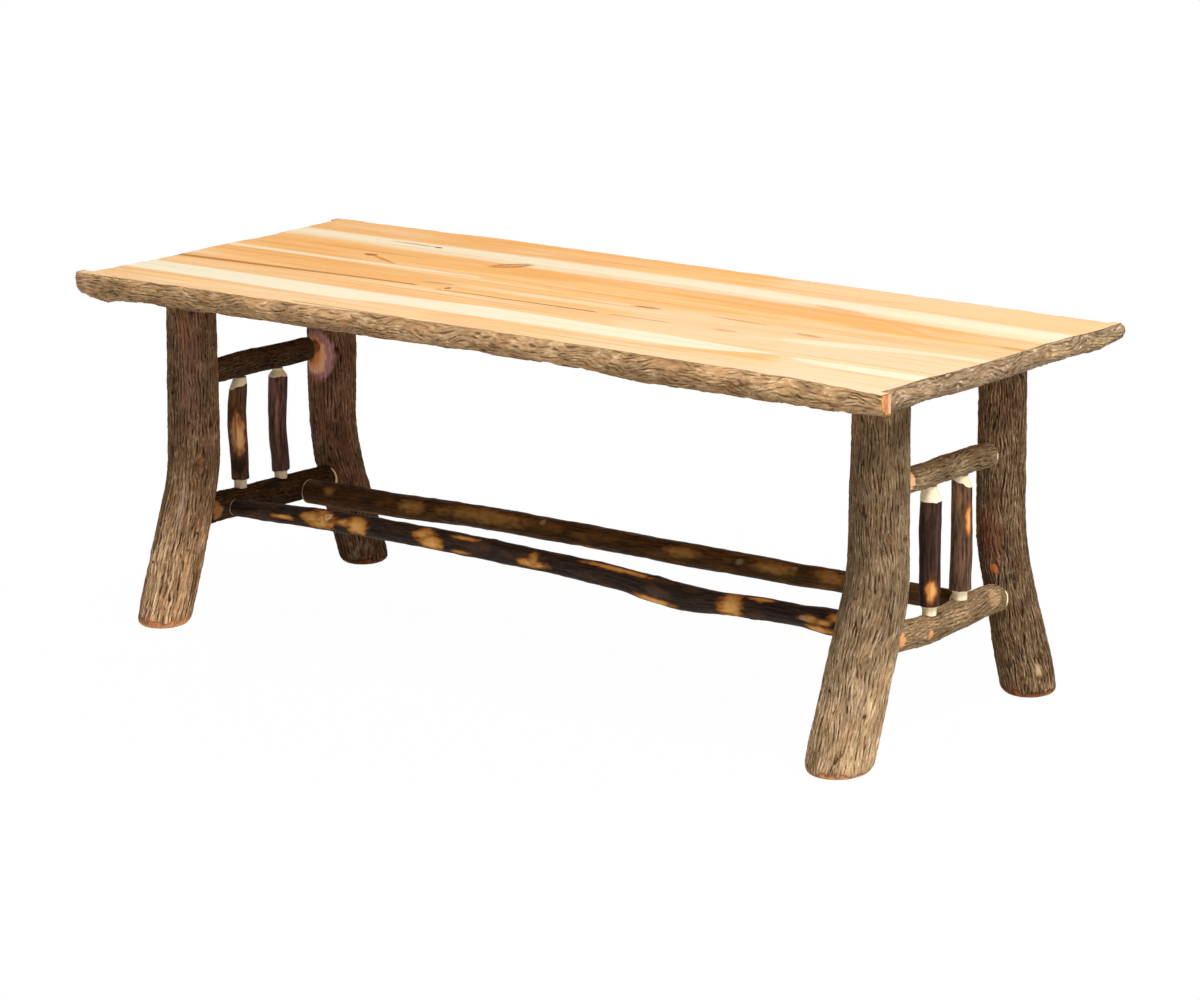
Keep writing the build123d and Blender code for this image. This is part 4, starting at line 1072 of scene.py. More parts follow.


# ----------------------------------------------- pieces: stretchers and spindles
# A turn of 180 degrees on a stretcher faces the front, 90 faces up and 270 faces down. Its patches are rubbed
# down to shades: a rim, a middle and a core. It swells at its right end by a share.
# The fourth bark colour of a stretcher is a painted sheen.
STRETCHER_LOOKS = {
    "front_stretcher": Look(
        80, [(40, 31, 27), (70, 56, 49), (90, 68, 54), (146, 130, 118)],
        [Knot(-340, 141, 5.5, 1.0, 0.8, 1.2), Knot(175, 95, 7, 1.6, 0.0, 1.3), Knot(-80, 60, 5, 1.2),
         Knot(320, 250, 5, 1.0)],
        [Dab(-338, 150, 15, 14, (120, 66, 32), 0.8), Dab(-338, 150, 12, 11, (252, 216, 160), 0.9),
         Dab(-338, 150, 5, 5, (214, 150, 90), 0.8), Dab(398, 170, 10, 8, (190, 160, 140), 0.6),
         Dab(186, 170, 40, 10, (110, 84, 74), 0.5, 0.5)],
        swell=0.2, shades=((112, 66, 32), (210, 138, 62), (246, 192, 112)),
        patches=[Patch(-432, -393, 168, 200, 0.8), Patch(-374, -328, 100, 230),
                 Patch(-384, -350, 130, 190, 0.8), Patch(-322, -292, 140, 185, 0.85),
                 Patch(-306, -273, 116, 226), Patch(-196, -162, 108, 190), Patch(-184, -149, 150, 232),
                 Patch(-138, -94, 112, 138), Patch(-138, -106, 196, 226, 0.5), Patch(-30, 14, 166, 215),
                 Patch(-14, 2, 120, 200, 0.6), Patch(66, 172, 98, 128), Patch(148, 207, 200, 240),
                 Patch(275, 310, 90, 255), Patch(312, 352, 92, 130), Patch(392, 424, 150, 190, 0.6),
                 Patch(400, 440, 196, 236, 0.9), Patch(432, 466, 122, 160), Patch(446, 476, 168, 240),
                 Patch(418, 440, 160, 186, 0.8), Patch(-260, -228, 20, 80), Patch(-60, -10, -60, 10),
                 Patch(110, 150, 0, 60), Patch(350, 400, -40, 30), Patch(-460, -430, 250, 320),
                 Patch(20, 60, 250, 300)]),
    "back_stretcher": Look(
        81, [(52, 35, 20), (92, 64, 36), (122, 84, 44), (156, 124, 84)],
        [Knot(-107, 134, 4.0, 0.9), Knot(200, 152, 4.5, 0.9), Knot(281, 138, 4.5, 0.9),
         Knot(-300, 60, 5, 1.0)],
        [Dab(200, 152, 10, 8, (158, 142, 118), 0.6, 0.4), Dab(281, 138, 9, 7, (150, 128, 108), 0.6, 0.4),
         Dab(-107, 134, 8, 8, (170, 152, 122), 0.6, 0.4)],
        swell=0.0, shades=((88, 62, 32), (148, 106, 56), (178, 136, 78)),
        patches=[Patch(-472, -452, 120, 170, 0.7), Patch(-342, -298, 120, 200, 0.75),
                 Patch(-272, -128, 112, 196, 0.66), Patch(84, 140, 130, 190, 0.7),
                 Patch(220, 284, 115, 190, 0.7), Patch(310, 360, 110, 190, 0.75), Patch(-420, -380, -40, 40),
                 Patch(-210, -150, 10, 70), Patch(0, 50, -30, 50), Patch(180, 240, 0, 60),
                 Patch(400, 450, -50, 20), Patch(-60, -20, 220, 290)]),
}
STRETCHER_ROWS, STRETCHER_COLUMNS = 577, 64
STRETCHER_TENON = 7.5 * MM
STRETCHER_END_ROUND = 2.2 * MM
SWELL_START, SWELL_END = 380 * MM, 430 * MM
# Bare wood shows at a stretcher's ends: where it starts and where it is full.
WOOD_START, WOOD_FULL = 3.8 * MM, 2.8 * MM


def smooth_bark(log, knots, wave=1.0):
    """Relief and height mask of tight bark: long low waves and small wrinkles."""
    waves = log.noise(60, 22)
    dents = log.noise(20, 9)
    wrinkles = log.noise(26, 3.2, slant=0.05, ripple=True)
    relief = (0.75 + 0.32 * waves + 0.16 * dents + 0.07 * wrinkles) * MM * wave
    height = np.clip(0.5 + 0.2 * wrinkles, 0, 1)
    peel = np.zeros_like(relief)
    for knot in knots:
        d_along, d_round = log.spot(knot.place, knot.turn)
        d = np.hypot(d_along / knot.length, d_round) / knot.size
        relief = relief - knot.height * np.exp(-(d / 1.2) ** 2) + 0.4 * MM * np.exp(-((d - 1) / 0.25) ** 2)
        peel = np.maximum(peel, knot.peeled * (1 - step_up(0.6, 1.05, d)))
    return relief, height, peel


class LOGTABLE_OT_stretchers(Operator):
    """Make the two long smooth-barked stretchers"""

    bl_idname = "logtable.stretchers"
    bl_label = "Stretchers"

    def execute(self, context):
        for name, look in STRETCHER_LOOKS.items():
            span = Probe(name, X).body(STRETCHER_TENON)
            log = Log(name, X, span, STRETCHER_ROWS, STRETCHER_COLUMNS, look.seed,
                      (STRETCHER_END_ROUND, STRETCHER_END_ROUND))
            log.core[:, 2:] *= 1 + look.swell * step_up(SWELL_START, SWELL_END, log.place)[:, None]
            relief, height, peel = smooth_bark(log, look.knots)
            tint = np.clip(0.5 + 0.13 * log.noise(40, 2.4) + 0.12 * log.noise(12, 5), 0, 1)
            over = paint(log, rubbed(log, look.patches, *look.shades) + look.dabs, tint, 1.0, 0.13)
            relief = relief + 0.3 * MM * (1 - over["keep"]) - 0.4 * MM
            from_end = np.minimum(log.along, log.length - log.along)
            wood = step_up(WOOD_START, WOOD_FULL, from_end)
            masks = {"bark": height, "peel": peel, "wood": wood, **over}
            log.build("smooth_bark", relief, masks, [tight_material(name, look)])
        return {"FINISHED"}


class SpindleEnds:
    """How one spindle's ends are whittled: lengths in millimetres, turns in degrees, slants from 0 to 1."""

    def __init__(self, top_length, top_slant, top_turn, one_sided, low_turn=0, low_slant=0.0):
        self.top_length, self.top_slant, self.top_turn = top_length * MM, top_slant, top_turn
        self.one_sided, self.low_turn, self.low_slant = one_sided, low_turn, low_slant


# A turn of -52 degrees on a spindle or leg faces the front right corner.
# The fourth bark colour of a spindle is a painted sheen.
SPINDLE_LOOKS = {
    "left_front_spindle": Look(
        90, [(58, 41, 31), (112, 82, 60), (146, 102, 66), (176, 148, 118)],
        ends=SpindleEnds(13, 0.6, -142, 0.7),
        dabs=[Dab(252, -60, 22, 26, (34, 24, 20), 0.8, 0.4),
              Dab(232, -50, 62, 25, (120, 74, 42), 0.85, 0.35),
              Dab(228, -46, 46, 18, (222, 160, 104), 0.95, 0.3),
              Dab(222, -40, 26, 7, (246, 196, 142), 0.8, 0.4), Dab(236, -58, 40, 2.5, (130, 78, 42), 0.6),
              Dab(185, -60, 18, 26, (34, 24, 20), 0.7, 0.5), Dab(258, 80, 24, 14, (196, 132, 76), 0.8),
              Dab(186, 160, 30, 14, (196, 132, 76), 0.7)]),
    "left_back_spindle": Look(
        91, [(58, 41, 36), (112, 82, 74), (140, 98, 84), (184, 148, 146)],
        ends=SpindleEnds(7.5, 0.0, 37, 0.0, -142, 0.5),
        # The two thin pale streaks at a turn of -52 degrees are a painted sheen down the side that faces the
        # front right corner.
        dabs=[Dab(226, -52, 90, 6, (134, 92, 72), 0.75, 0.5),
              Dab(240, -52, 50, 3, (176, 126, 100), 0.7, 0.5), Dab(210, 130, 40, 12, (176, 118, 70), 0.7)]),
    "right_front_spindle": Look(
        92, [(38, 26, 22), (68, 49, 41), (92, 64, 50), (136, 112, 98)],
        ends=SpindleEnds(15, 0.0, 37, 0.75, 37, 0.2),
        dabs=[Dab(177, -48, 34, 18, (104, 60, 34), 0.9, 0.3),
              Dab(177, -48, 25, 12, (206, 140, 74), 0.95, 0.3),
              Dab(178, -40, 14, 5, (234, 178, 112), 0.7, 0.4), Dab(230, -20, 90, 4, (96, 66, 56), 0.5, 0.5),
              Dab(254, 92, 24, 14, (190, 128, 72), 0.8), Dab(206, 200, 20, 14, (190, 128, 72), 0.7)]),
    "right_back_spindle": Look(
        93, [(54, 39, 31), (114, 86, 66), (146, 106, 70), (176, 150, 122)],
        ends=SpindleEnds(12, 0.9, 37, 0.8),
        dabs=[Dab(250, -16, 44, 12, (112, 64, 36), 0.9, 0.3),
              Dab(249, -18, 34, 7, (210, 136, 68), 0.95, 0.3),
              Dab(250, -17, 20, 3, (240, 182, 112), 0.7, 0.4), Dab(200, -60, 80, 4, (104, 74, 60), 0.5, 0.5),
              Dab(190, 125, 26, 14, (190, 128, 72), 0.8), Dab(250, 190, 24, 12, (190, 128, 72), 0.7)]),
}
SPINDLE_ROWS, SPINDLE_COLUMNS = 193, 72
SPINDLE_TENON = 7 * MM
SPINDLE_OVERLAP = 3 * MM
NECK = 8.5 * MM
NECK_LENGTH = 9 * MM
NECK_BEVEL = 2.5 * MM
TOP_CONE = 12 * MM


def leaning(log, turn):
    """1 on the side of a spindle that faces a turn, and 0 on the other side."""
    return (0.5 + 0.5 * np.cos(log.turn - math.radians(turn)))[None, :]


class LOGTABLE_OT_spindles(Operator):
    """Make the spindles, with their ends whittled down to bare wood"""

    bl_idname = "logtable.spindles"
    bl_label = "Spindles"

    def execute(self, context):
        for name, look in SPINDLE_LOOKS.items():
            ends = look.ends
            probe = Probe(name, Z)
            bottom, top = probe.body(SPINDLE_TENON)
            body_low, body_high = bottom + NECK_LENGTH, top - TOP_CONE
            log = Log(name, Z, (bottom - SPINDLE_OVERLAP, top + SPINDLE_OVERLAP), SPINDLE_ROWS,
                      SPINDLE_COLUMNS, look.seed, margin=NECK_LENGTH + 4 * MM)
            place = log.place[:, None]
            stations = np.linspace(body_low + 1 * MM, body_high - 1 * MM, 16)
            measured = probe.measure(stations)
            inside = np.clip(log.place, stations[0], stations[-1])
            log.core = np.stack([np.interp(inside, stations, values) for values in measured.T], 1)
            log.radius = log.core[:, 2:].mean(1)
            relief, height, peel = smooth_bark(log, [], 0.8)
            wobble = 0.5 * MM * log.noise(30, 9)
            top_side = leaning(log, ends.top_turn)
            past_top = place - (top - ends.top_length * (1 - ends.top_slant * (1 - top_side))) - wobble
            high_cone = np.clip(past_top / ends.top_length, 0, 1)
            high_drop = (log.radius[:, None] - SPINDLE_TENON) * high_cone
            high_drop = high_drop * (1 - ends.one_sided * (1 - top_side))
            low_side = 4 * MM * ends.low_slant * leaning(log, ends.low_turn)
            past_low = body_low - low_side - place + 0.6 * wobble
            low_cone = np.clip(past_low / NECK_BEVEL, 0, 1)
            low_drop = (log.radius[:, None] - NECK) * low_cone
            cone = np.maximum(low_cone, np.clip(high_cone * 4, 0, 1))
            flats = 0.25 * MM * np.cos(log.turn * 6 + look.seed)[None, :] * cone
            relief = (relief - 0.3 * MM) * (1 - cone) + low_drop + high_drop + flats
            wood = step_up(-0.3 * MM, 0.3 * MM, np.maximum(past_low, past_top))
            masks = {"bark": height, "peel": peel, "wood": wood, **paint(log, look.dabs, height, 1.0)}
            log.build("smooth_bark", relief, masks, [tight_material(name, look)])
        return {"FINISHED"}


# ------------------------------------------------------------ pieces: edge logs
# On a half log a turn of 0 degrees is its upper edge and 90 its lower one.
EDGE_BARK = [(208, 174, 132), (172, 137, 98), (112, 84, 56), (186, 140, 96), (238, 210, 170), 0.5]
RIGHT_EDGE_BARK = [(174, 150, 120), (140, 116, 90), (96, 76, 56), (144, 112, 80), (222, 202, 170), 0.6]
# How far the bark curls in over the top edge: places along the log and widths.
THIN_RIM = ((-620, 0.6), (620, 0.6))
FRONT_RIM = ((-618, 2), (-560, 3), (-400, 5), (-230, 6), (-100, 12), (440, 11), (560, 6), (606, 2))
# How far its lower edge stands out, or in where it is below 0.
FRONT_SWELL = ((-612, 0), (-600, 3), (-578, 3.5), (-560, -1), (-490, -2.5), (-420, 0))
NO_SWELL = ((0, 0), (1, 0))
EDGE_LOOKS = {
    "front_edge_log": Look(
        101, EDGE_BARK,
        [Knot(440, 55, 7, 1.0, 0, 1.4), Knot(-330, 40, 5, 0.8), Knot(60, 70, 5, 0.8)],
        [Dab(-610, 40, 36, 60, (220, 176, 142), 0.55, 0.5)],
        outward=(0, -1, 0), rounds=(4, 4), rim=FRONT_RIM, swell=FRONT_SWELL),
    "back_edge_log": Look(
        103, EDGE_BARK, [Knot(-250, 50, 6, 1.0), Knot(310, 40, 6, 1.0)],
        outward=(0, 1, 0), rounds=(0, 4), rim=THIN_RIM, swell=NO_SWELL),
    "left_edge_log": Look(
        107, EDGE_BARK, [Knot(-60, 50, 5, 0.8)],
        outward=(-1, 0, 0), rounds=(0, 0), rim=THIN_RIM, swell=NO_SWELL),
    "right_edge_log": Look(
        109, RIGHT_EDGE_BARK, [Knot(40, 55, 5, 0.8)],
        [Dab(215, 35, 60, 12, (206, 172, 122), 0.45, 0.5), Dab(110, 30, 70, 10, (196, 156, 108), 0.35, 0.6),
         Dab(-170, 82, 80, 8, (220, 196, 160), 0.6, 0.4)],
        outward=(1, 0, 0), rounds=(0, 0), rim=THIN_RIM, swell=NO_SWELL),
}
LONG_ROWS, SHORT_ROWS = 769, 301
EDGE_COLUMNS = 62
FLAT_COLUMNS = 6
INNER_COLUMNS = 2
BARK_RIM = 1.6 * MM
# Rays come in from outside this reach, over the turns in degrees that hit bark.
RAY_REACH, RAY_TURNS = 80 * MM, (1.5, 88.5)
# The materials of a half log, in their order on its piece.
BARK_FACES, FLAT_FACES, SAWN_FACES = 0, 1, 2
# What the masks say on a half log's flat sides, where it isn't 0.
FLAT_VALUES = {"bark": 0.2, "keep": 1.0}


def along_look(rows, world):
    """A look's value at places along the table, from rows of place and value in millimetres."""
    places, values = np.transpose(rows)
    return np.interp(world, places * MM, values * MM)[:, None]


class HalfLog(Log):
    """A half log: a flat top, a flat inner side against the planks, and bark between them."""

    def __init__(self, node, look):
        low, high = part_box(node)
        self.node = node
        self.outward = Vector(look.outward)
        self.down_way = Vector((0, 0, -1))
        self.way = self.outward.cross(self.down_way)
        self.axis, side = (X, Y) if abs(self.way.x) > 0.5 else (Y, X)
        self.sawn = self.axis == X
        self.rows = LONG_ROWS if self.sawn else SHORT_ROWS
        self.columns = EDGE_COLUMNS + INNER_COLUMNS + FLAT_COLUMNS
        self.corner = Vector((0, 0, high.z))
        self.corner[side] = low[side] if self.outward[side] > 0 else high[side]
        self.corner[self.axis] = (low[self.axis] + high[self.axis]) / 2
        self.length = high[self.axis] - low[self.axis]
        self.start = -self.length / 2
        self.down, self.inset = end_profile(self.length, self.rows, *(value * MM for value in look.rounds))
        self.place = self.start + self.down
        self.world = self.corner[self.axis] + self.place * self.way[self.axis]
        self.bark_turns = np.linspace(0, math.pi / 2, EDGE_COLUMNS + 1)
        self.outline = self.measure()
        middle = self.section(0)[self.rows // 2]
        self.girth = float(np.hypot(*np.diff(middle, axis=0).T).sum())
        self.lay_sheet(look.seed, np.linspace(0, self.girth, EDGE_COLUMNS + 1))

    def measure(self):
        """How far the bark is from the inner upper corner, for every row and turn."""
        tree = Probe(self.node, self.axis).tree
        places = np.linspace(6 * MM, self.length - 6 * MM, int(self.length / (12 * MM)))
        turns = np.linspace(*map(math.radians, RAY_TURNS), 24)
        found = np.empty((len(places), len(turns)))
        for r, place in enumerate(places):
            for c, turn in enumerate(turns):
                way = self.outward * math.cos(turn) + self.down_way * math.sin(turn)
                start = self.corner + self.way * (self.start + place) + way * RAY_REACH
                found[r, c] = (tree.ray_cast(start, -way)[0] - self.corner).dot(way)
        padded = np.pad(found, ((2, 2), (0, 0)), mode="edge")
        found = np.median([padded[k:k + len(places)] for k in range(5)], axis=0)
        across = np.stack([np.interp(self.bark_turns, turns, line) for line in found])
        return np.stack([np.interp(self.down, places, column) for column in across.T], 1)

    def section(self, relief):
        """Bark points of every row: outwards and downwards from the corner."""
        reach = self.outline - relief - self.inset[:, None]
        return np.stack([reach * np.cos(self.bark_turns), reach * np.sin(self.bark_turns)], 2)

    def spot(self, place, turn_degrees):
        over = turn_degrees / 90 * self.girth
        along = (place - self.corner[self.axis]) * self.way[self.axis]
        return self.along - (along - self.start), self.round - over

    def places(self, relief):
        bark = self.section(relief)
        flat_out = np.linspace(0, 1, FLAT_COLUMNS) * (bark[:, :1, 0] - BARK_RIM)
        inner_down = bark[:, -1:, 1] * np.linspace(1, 0, INNER_COLUMNS + 1)[1:-1]
        flat = np.stack([flat_out, np.zeros_like(flat_out)], 2)
        inner = np.stack([np.zeros_like(inner_down), inner_down], 2)
        ring = np.concatenate([bark, inner, flat], 1)
        ring[:, 0, 1] += 0.5 * MM
        outwards = ring[..., 0:1] * np.array(self.outward)
        downwards = ring[..., 1:2] * np.array(self.down_way)
        return np.array(self.corner) + outwards + downwards + self.place[:, None, None] * np.array(self.way)

    def straight(self):
        grid = np.zeros((self.rows, self.columns, 3))
        grid[..., 0] = 8 * MM
        grid[:, :EDGE_COLUMNS + 1, 0] = self.outline * np.cos(self.bark_turns)
        grid[:, :EDGE_COLUMNS + 1, 1] = self.outline * np.sin(self.bark_turns)
        grid[..., 2] = self.place[:, None]
        return grid

    def widen(self, name, grid):
        """A mask of the bark, filled up for the flat sides."""
        shape = (self.rows, self.columns - EDGE_COLUMNS - 1, *grid.shape[2:])
        return np.concatenate([grid, np.full(shape, FLAT_VALUES.get(name, 0.0))], 1)

    def share_out(self, skin):
        """Bark on the round side and on rounded ends, plank wood on the flat sides, and end grain."""
        for polygon in skin.mesh.polygons:
            corners = list(polygon.vertices)
            if len(corners) > 4:
                polygon.material_index = SAWN_FACES if self.sawn else FLAT_FACES
            elif self.inset[skin.row[corners]].max() > 0.5 * MM:
                polygon.material_index = BARK_FACES
            elif min(skin.column[corners]) >= EDGE_COLUMNS:
                polygon.material_index = FLAT_FACES


class LOGTABLE_OT_edge_logs(Operator):
    """Make the four half logs round the planks"""

    bl_idname = "logtable.edge_logs"
    bl_label = "Edge logs"

    def execute(self, context):
        end_grain = end_material()
        wood = top_material()
        for name, look in EDGE_LOOKS.items():
            log = HalfLog(name, look)
            relief, height, peel = rough_bark(log, look.knots, 1.25, 0.85, 2.0)
            flakes = log.noise(16, 7)
            clods = log.noise(34, 14)
            share = log.round / log.girth
            lower = np.clip(share - 0.5, 0, 1)
            relief = relief + (0.35 * flakes + (0.3 + 1.2 * lower) * clods) * MM
            # Painted shade: the height mask is lowered towards the log's lower side, which darkens it.
            height = height + 0.13 * flakes + 0.04 * clods - 0.1 * lower
            rim = (along_look(look.rim, log.world) + 1.0 * MM * clods).clip(0.4 * MM)
            relief = np.maximum(relief, 0) * np.clip(0.35 + log.round / (6 * MM), 0, 1)
            relief = relief - 2 * lower * along_look(look.swell, log.world)
            relief = relief + rim * (1 - step_up(-2 * MM, 11 * MM, log.round))
            peel = np.maximum(peel, step_up(0.3 * MM, 1.6 * MM, log.inset)[:, None] * 0.95)
            # Painted light and shade: the bark is painted lighter on its upper side and darker towards its
            # lower side.
            masks = {"bark": height, "peel": peel, "wood": np.zeros_like(peel),
                     **paint(log, look.dabs, height, 1.12 - 0.5 * step_up(0.3, 0.95, share))}
            log.build("edge_bark", relief, masks, [rough_material(name, look), wood, end_grain])
        return {"FINISHED"}


# --------------------------------------------------------------- pieces: planks
# Joints between the planks from front to back, and how pale each plank is.
JOINTS = (-125, -61, 24, 170)
PALE_SHARES = (0.34, 0.22, 0.12, 0.0, 0.1)
DEEP_TAN = srgb(244, 176, 96)
BROWN = srgb(130, 70, 12)
SOFT_TAN = srgb(250, 216, 176)
BANDS = [
    Band((-640, 40, 112), (-400, 42, 116), (-230, 56, 112), (-60, 70, 108), soft=9, strength=0.5,
         colour=DEEP_TAN),
    Band((170, 96, 116), (270, 70, 128), (330, 58, 128), (450, 44, 112), (540, 52, 92), soft=9, strength=0.15,
         colour=DEEP_TAN),
    Band((250, 30, 60), (400, 26, 44), (640, 30, 60), soft=10, strength=0.5, colour=SOFT_TAN),
    Band((470, 60, 110), (560, 70, 104), (640, 66, 104), soft=12, strength=0.4, colour=SOFT_TAN),
    Band((-640, 186, 280), (-420, 190, 280), (-250, 200, 262), soft=9, strength=0.4, colour=DEEP_TAN),
    Band((-640, -56, 12), (-400, -52, 12), (-200, -44, 4), soft=9, strength=0.3, colour=DEEP_TAN),
    Band((60, -125, 20), (250, -125, 16), (400, -125, 20), (640, -125, 30), soft=16, strength=0.5,
         colour=SOFT_TAN),
    Band((100, 172, 290), (300, 172, 290), (640, 168, 290), soft=10, strength=0.4, colour=SOFT_TAN),
    Band((100, -260, -172), (300, -260, -176), (640, -260, -160), soft=10, strength=0.4, colour=SOFT_TAN),
    Band((340, -128, -66), (430, -128, -52), (640, -128, -40), soft=8, strength=0.5, colour=SOFT_TAN),
    Band((400, -240, -165), (520, -240, -166), (640, -240, -166), soft=9, strength=0.6, colour=SOFT_TAN),
    Band((-640, 124, 172), (-500, 127, 176), (-380, 124, 178), (-200, 122, 182), (0, 120, 184),
         (225, 122, 180), (375, 118, 174), (500, 110, 172), (640, 104, 172), soft=7, strength=0.62),
    Band((-640, 142, 168), (-380, 144, 172), (0, 142, 178), (225, 140, 176), (640, 126, 168), soft=8,
         strength=0.75),
    Band((-640, 15, 28), (-420, 17, 30), (-300, 22, 34), (-180, 26, 32), soft=2.5, strength=0.7),
    Band((320, -64, -58), (380, -64, -40), (450, -50, -24), (520, -36, -18), (640, -28, -12), soft=5,
         strength=0.7),
    Band((-640, -178, -127), (-400, -179, -127), (-250, -180, -127), (-165, -170, -123), (-25, -168, -113),
         (75, -166, -117), (225, -166, -122), (300, -158, -127), (350, -146, -131), (392, -134, -134),
         soft=3.0),
    Band((398, -138, -136), (450, -157, -137), (520, -162, -135), (640, -164, -132), soft=3.5, strength=0.9),
    Band((236, -178, -174), (330, -176, -156), (380, -174, -140), (404, -178, -152), soft=4, strength=0.5,
         colour=DEEP_TAN),
    Band((396, -176, -138), (430, -178, -148), (500, -184, -160), soft=4, strength=0.6, colour=SOFT_TAN),
    Band((-640, -87, -75), (-460, -75, -64), (-325, -64, -56), (-215, -58, -53), soft=1.6, strength=0.85,
         colour=BROWN),
    Band((-640, -95, -60), (-460, -84, -54), (-325, -74, -48), (-215, -68, -46), soft=6, strength=0.3,
         colour=DEEP_TAN),
    Band((-190, -66, -63), (-60, -63, -59), (70, -62, -57), soft=1.2, strength=0.7, colour=BROWN),
    Band((80, -61, -58), (180, -60, -57), soft=1.2, strength=0.5, colour=BROWN),
    Band((-280, -231, -227), (-90, -230, -226), soft=1.2, strength=0.6, colour=BROWN),
]
SPOTS = [
    Spot(-207, 117, 50, 64, 29, (150, 86, 30), 0.85), Spot(-207, 117, 50, 50, 18, (226, 160, 92), 0.95),
    Spot(-363, 161, 0, 14, 9, (96, 54, 22)), Spot(-402, 162, 0, 90, 6, (150, 96, 42), 0.7),
    Spot(-400, 69, 0, 24, 14, (136, 76, 26), 0.85), Spot(-366, 53, -26, 80, 9, (196, 118, 48), 0.65),
    Spot(-175, -50, 0, 10, 12, (134, 76, 34), 0.85), Spot(-205, -31, 6, 64, 9, (184, 112, 46), 0.6),
    Spot(95, 0, 4, 52, 10, (160, 96, 40), 0.75), Spot(235, 1, -4, 100, 8, (200, 134, 68), 0.6),
    Spot(350, -23, -8, 50, 13, (206, 150, 92), 0.7), Spot(588, 57, 0, 56, 16, (222, 154, 80), 0.8),
    Spot(255, -58, 0, 40, 14, (224, 158, 100), 0.6), Spot(25, -229, 0, 130, 11, (244, 178, 126), 0.7),
    Spot(290, 130, -8, 110, 18, (236, 164, 92), 0.6), Spot(400, 92, -22, 120, 12, (240, 172, 100), 0.5),
    Spot(440, 70, -26, 110, 10, (240, 172, 100), 0.5), Spot(-430, 90, 0, 240, 16, (232, 162, 84), 0.5),
    Spot(-520, 60, 0, 180, 12, (232, 162, 84), 0.5), Spot(-330, 200, 4, 160, 14, (240, 176, 100), 0.5),
    Spot(0, 60, 2, 300, 16, (246, 188, 116), 0.5), Spot(-60, 130, 0, 70, 4, (214, 168, 118), 0.5),
]


class LOGTABLE_OT_planks(Operator):
    """Finish the five planks of the top"""

    bl_idname = "logtable.planks"
    bl_label = "Planks"

    def execute(self, context):
        material = bpy.data.materials.get("table_top_wood") or top_material()
        for name in BOARDS:
            set_node_material(name, material)
        return {"FINISHED"}


def set_node_material(name, material):
    """Gives a CAD node's object a material, and leaves its mesh alone."""
    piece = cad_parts[name]
    if not piece.material_slots:
        piece.data.materials.append(material)
    for place in piece.material_slots:
        place.material = material


# ---------------------------------------------------- pieces: cleats and hardware
class LOGTABLE_OT_cleats(Operator):
    """Finish the cleats and the batten under the planks"""

    bl_idname = "logtable.cleats"
    bl_label = "Cleats"

    def execute(self, context):
        for index, name in enumerate(CLEATS):
            finish = Finish(name + "_wood")
            along = finish.stretched(finish.object_place(), (1, 1, 1), turn=(0, 0, math.pi / 2))
            grain = finish.use(
                plank_grain(), Place=along, Offset=(index * 1.7, index * 2.3, 0.4), Rings=8.0,
                Heartwood=srgb(222, 186, 136), Dark=srgb(190, 146, 94), Sapwood=srgb(232, 208, 164),
                Pore=srgb(140, 100, 60), Pale_Share=0.0)
            set_node_material(name, finish.connect(
                grain["Color"], grain["Roughness"], grain["Height"], 0.2, 0.3 * MM))
        return {"FINISHED"}


class LOGTABLE_OT_hardware(Operator):
    """Finish the screws and nails"""

    bl_idname = "logtable.hardware"
    bl_label = "Hardware"

    def execute(self, context):
        finish = Finish("zinc_plated_steel")
        place = finish.object_place()
        dull = finish.cloud(place, 300, 4, 0.6)
        scratches = finish.cloud(finish.stretched(place, (1, 1, 0.1)), 2500, 2, 0.5)
        colour = finish.mix(finish.rise(dull, 0.35, 0.7), srgb(176, 176, 172), srgb(138, 134, 126))
        rough = finish.rise(dull, 0.3, 0.7, 0.28, 0.5)
        finish.shader.inputs["Metallic"].default_value = 1.0
        material = finish.connect(colour, rough, scratches, 0.1, 0.05 * MM)
        for name in HARDWARE:
            set_node_material(name, material)
        return {"FINISHED"}


# ----------------------------------------------------------------------- studio
FLOOR_SIZE = 60.0
FLOOR_GREY = (0.82, 0.82, 0.82, 1)
# The floor shows as white, apart from a faint shade close to the table.
SHADE_NEAR, SHADE_FAR, SHADE_SHARE = 0.45, 0.85, 0.985
SKY = (1, 0.985, 0.96, 1)
KEY_PLACE, KEY_TARGET, KEY_SIZE = (4.4, -1.75, 7.0), (0.0, 0.0, 0.3), 3.2
FILL_PLACE, FILL_TARGET, FILL_SIZE = (3.2, -0.7, 0.75), (0.3, 0.0, 0.25), 1.2
SENSOR = 36.0
FAR_CLIP = 200


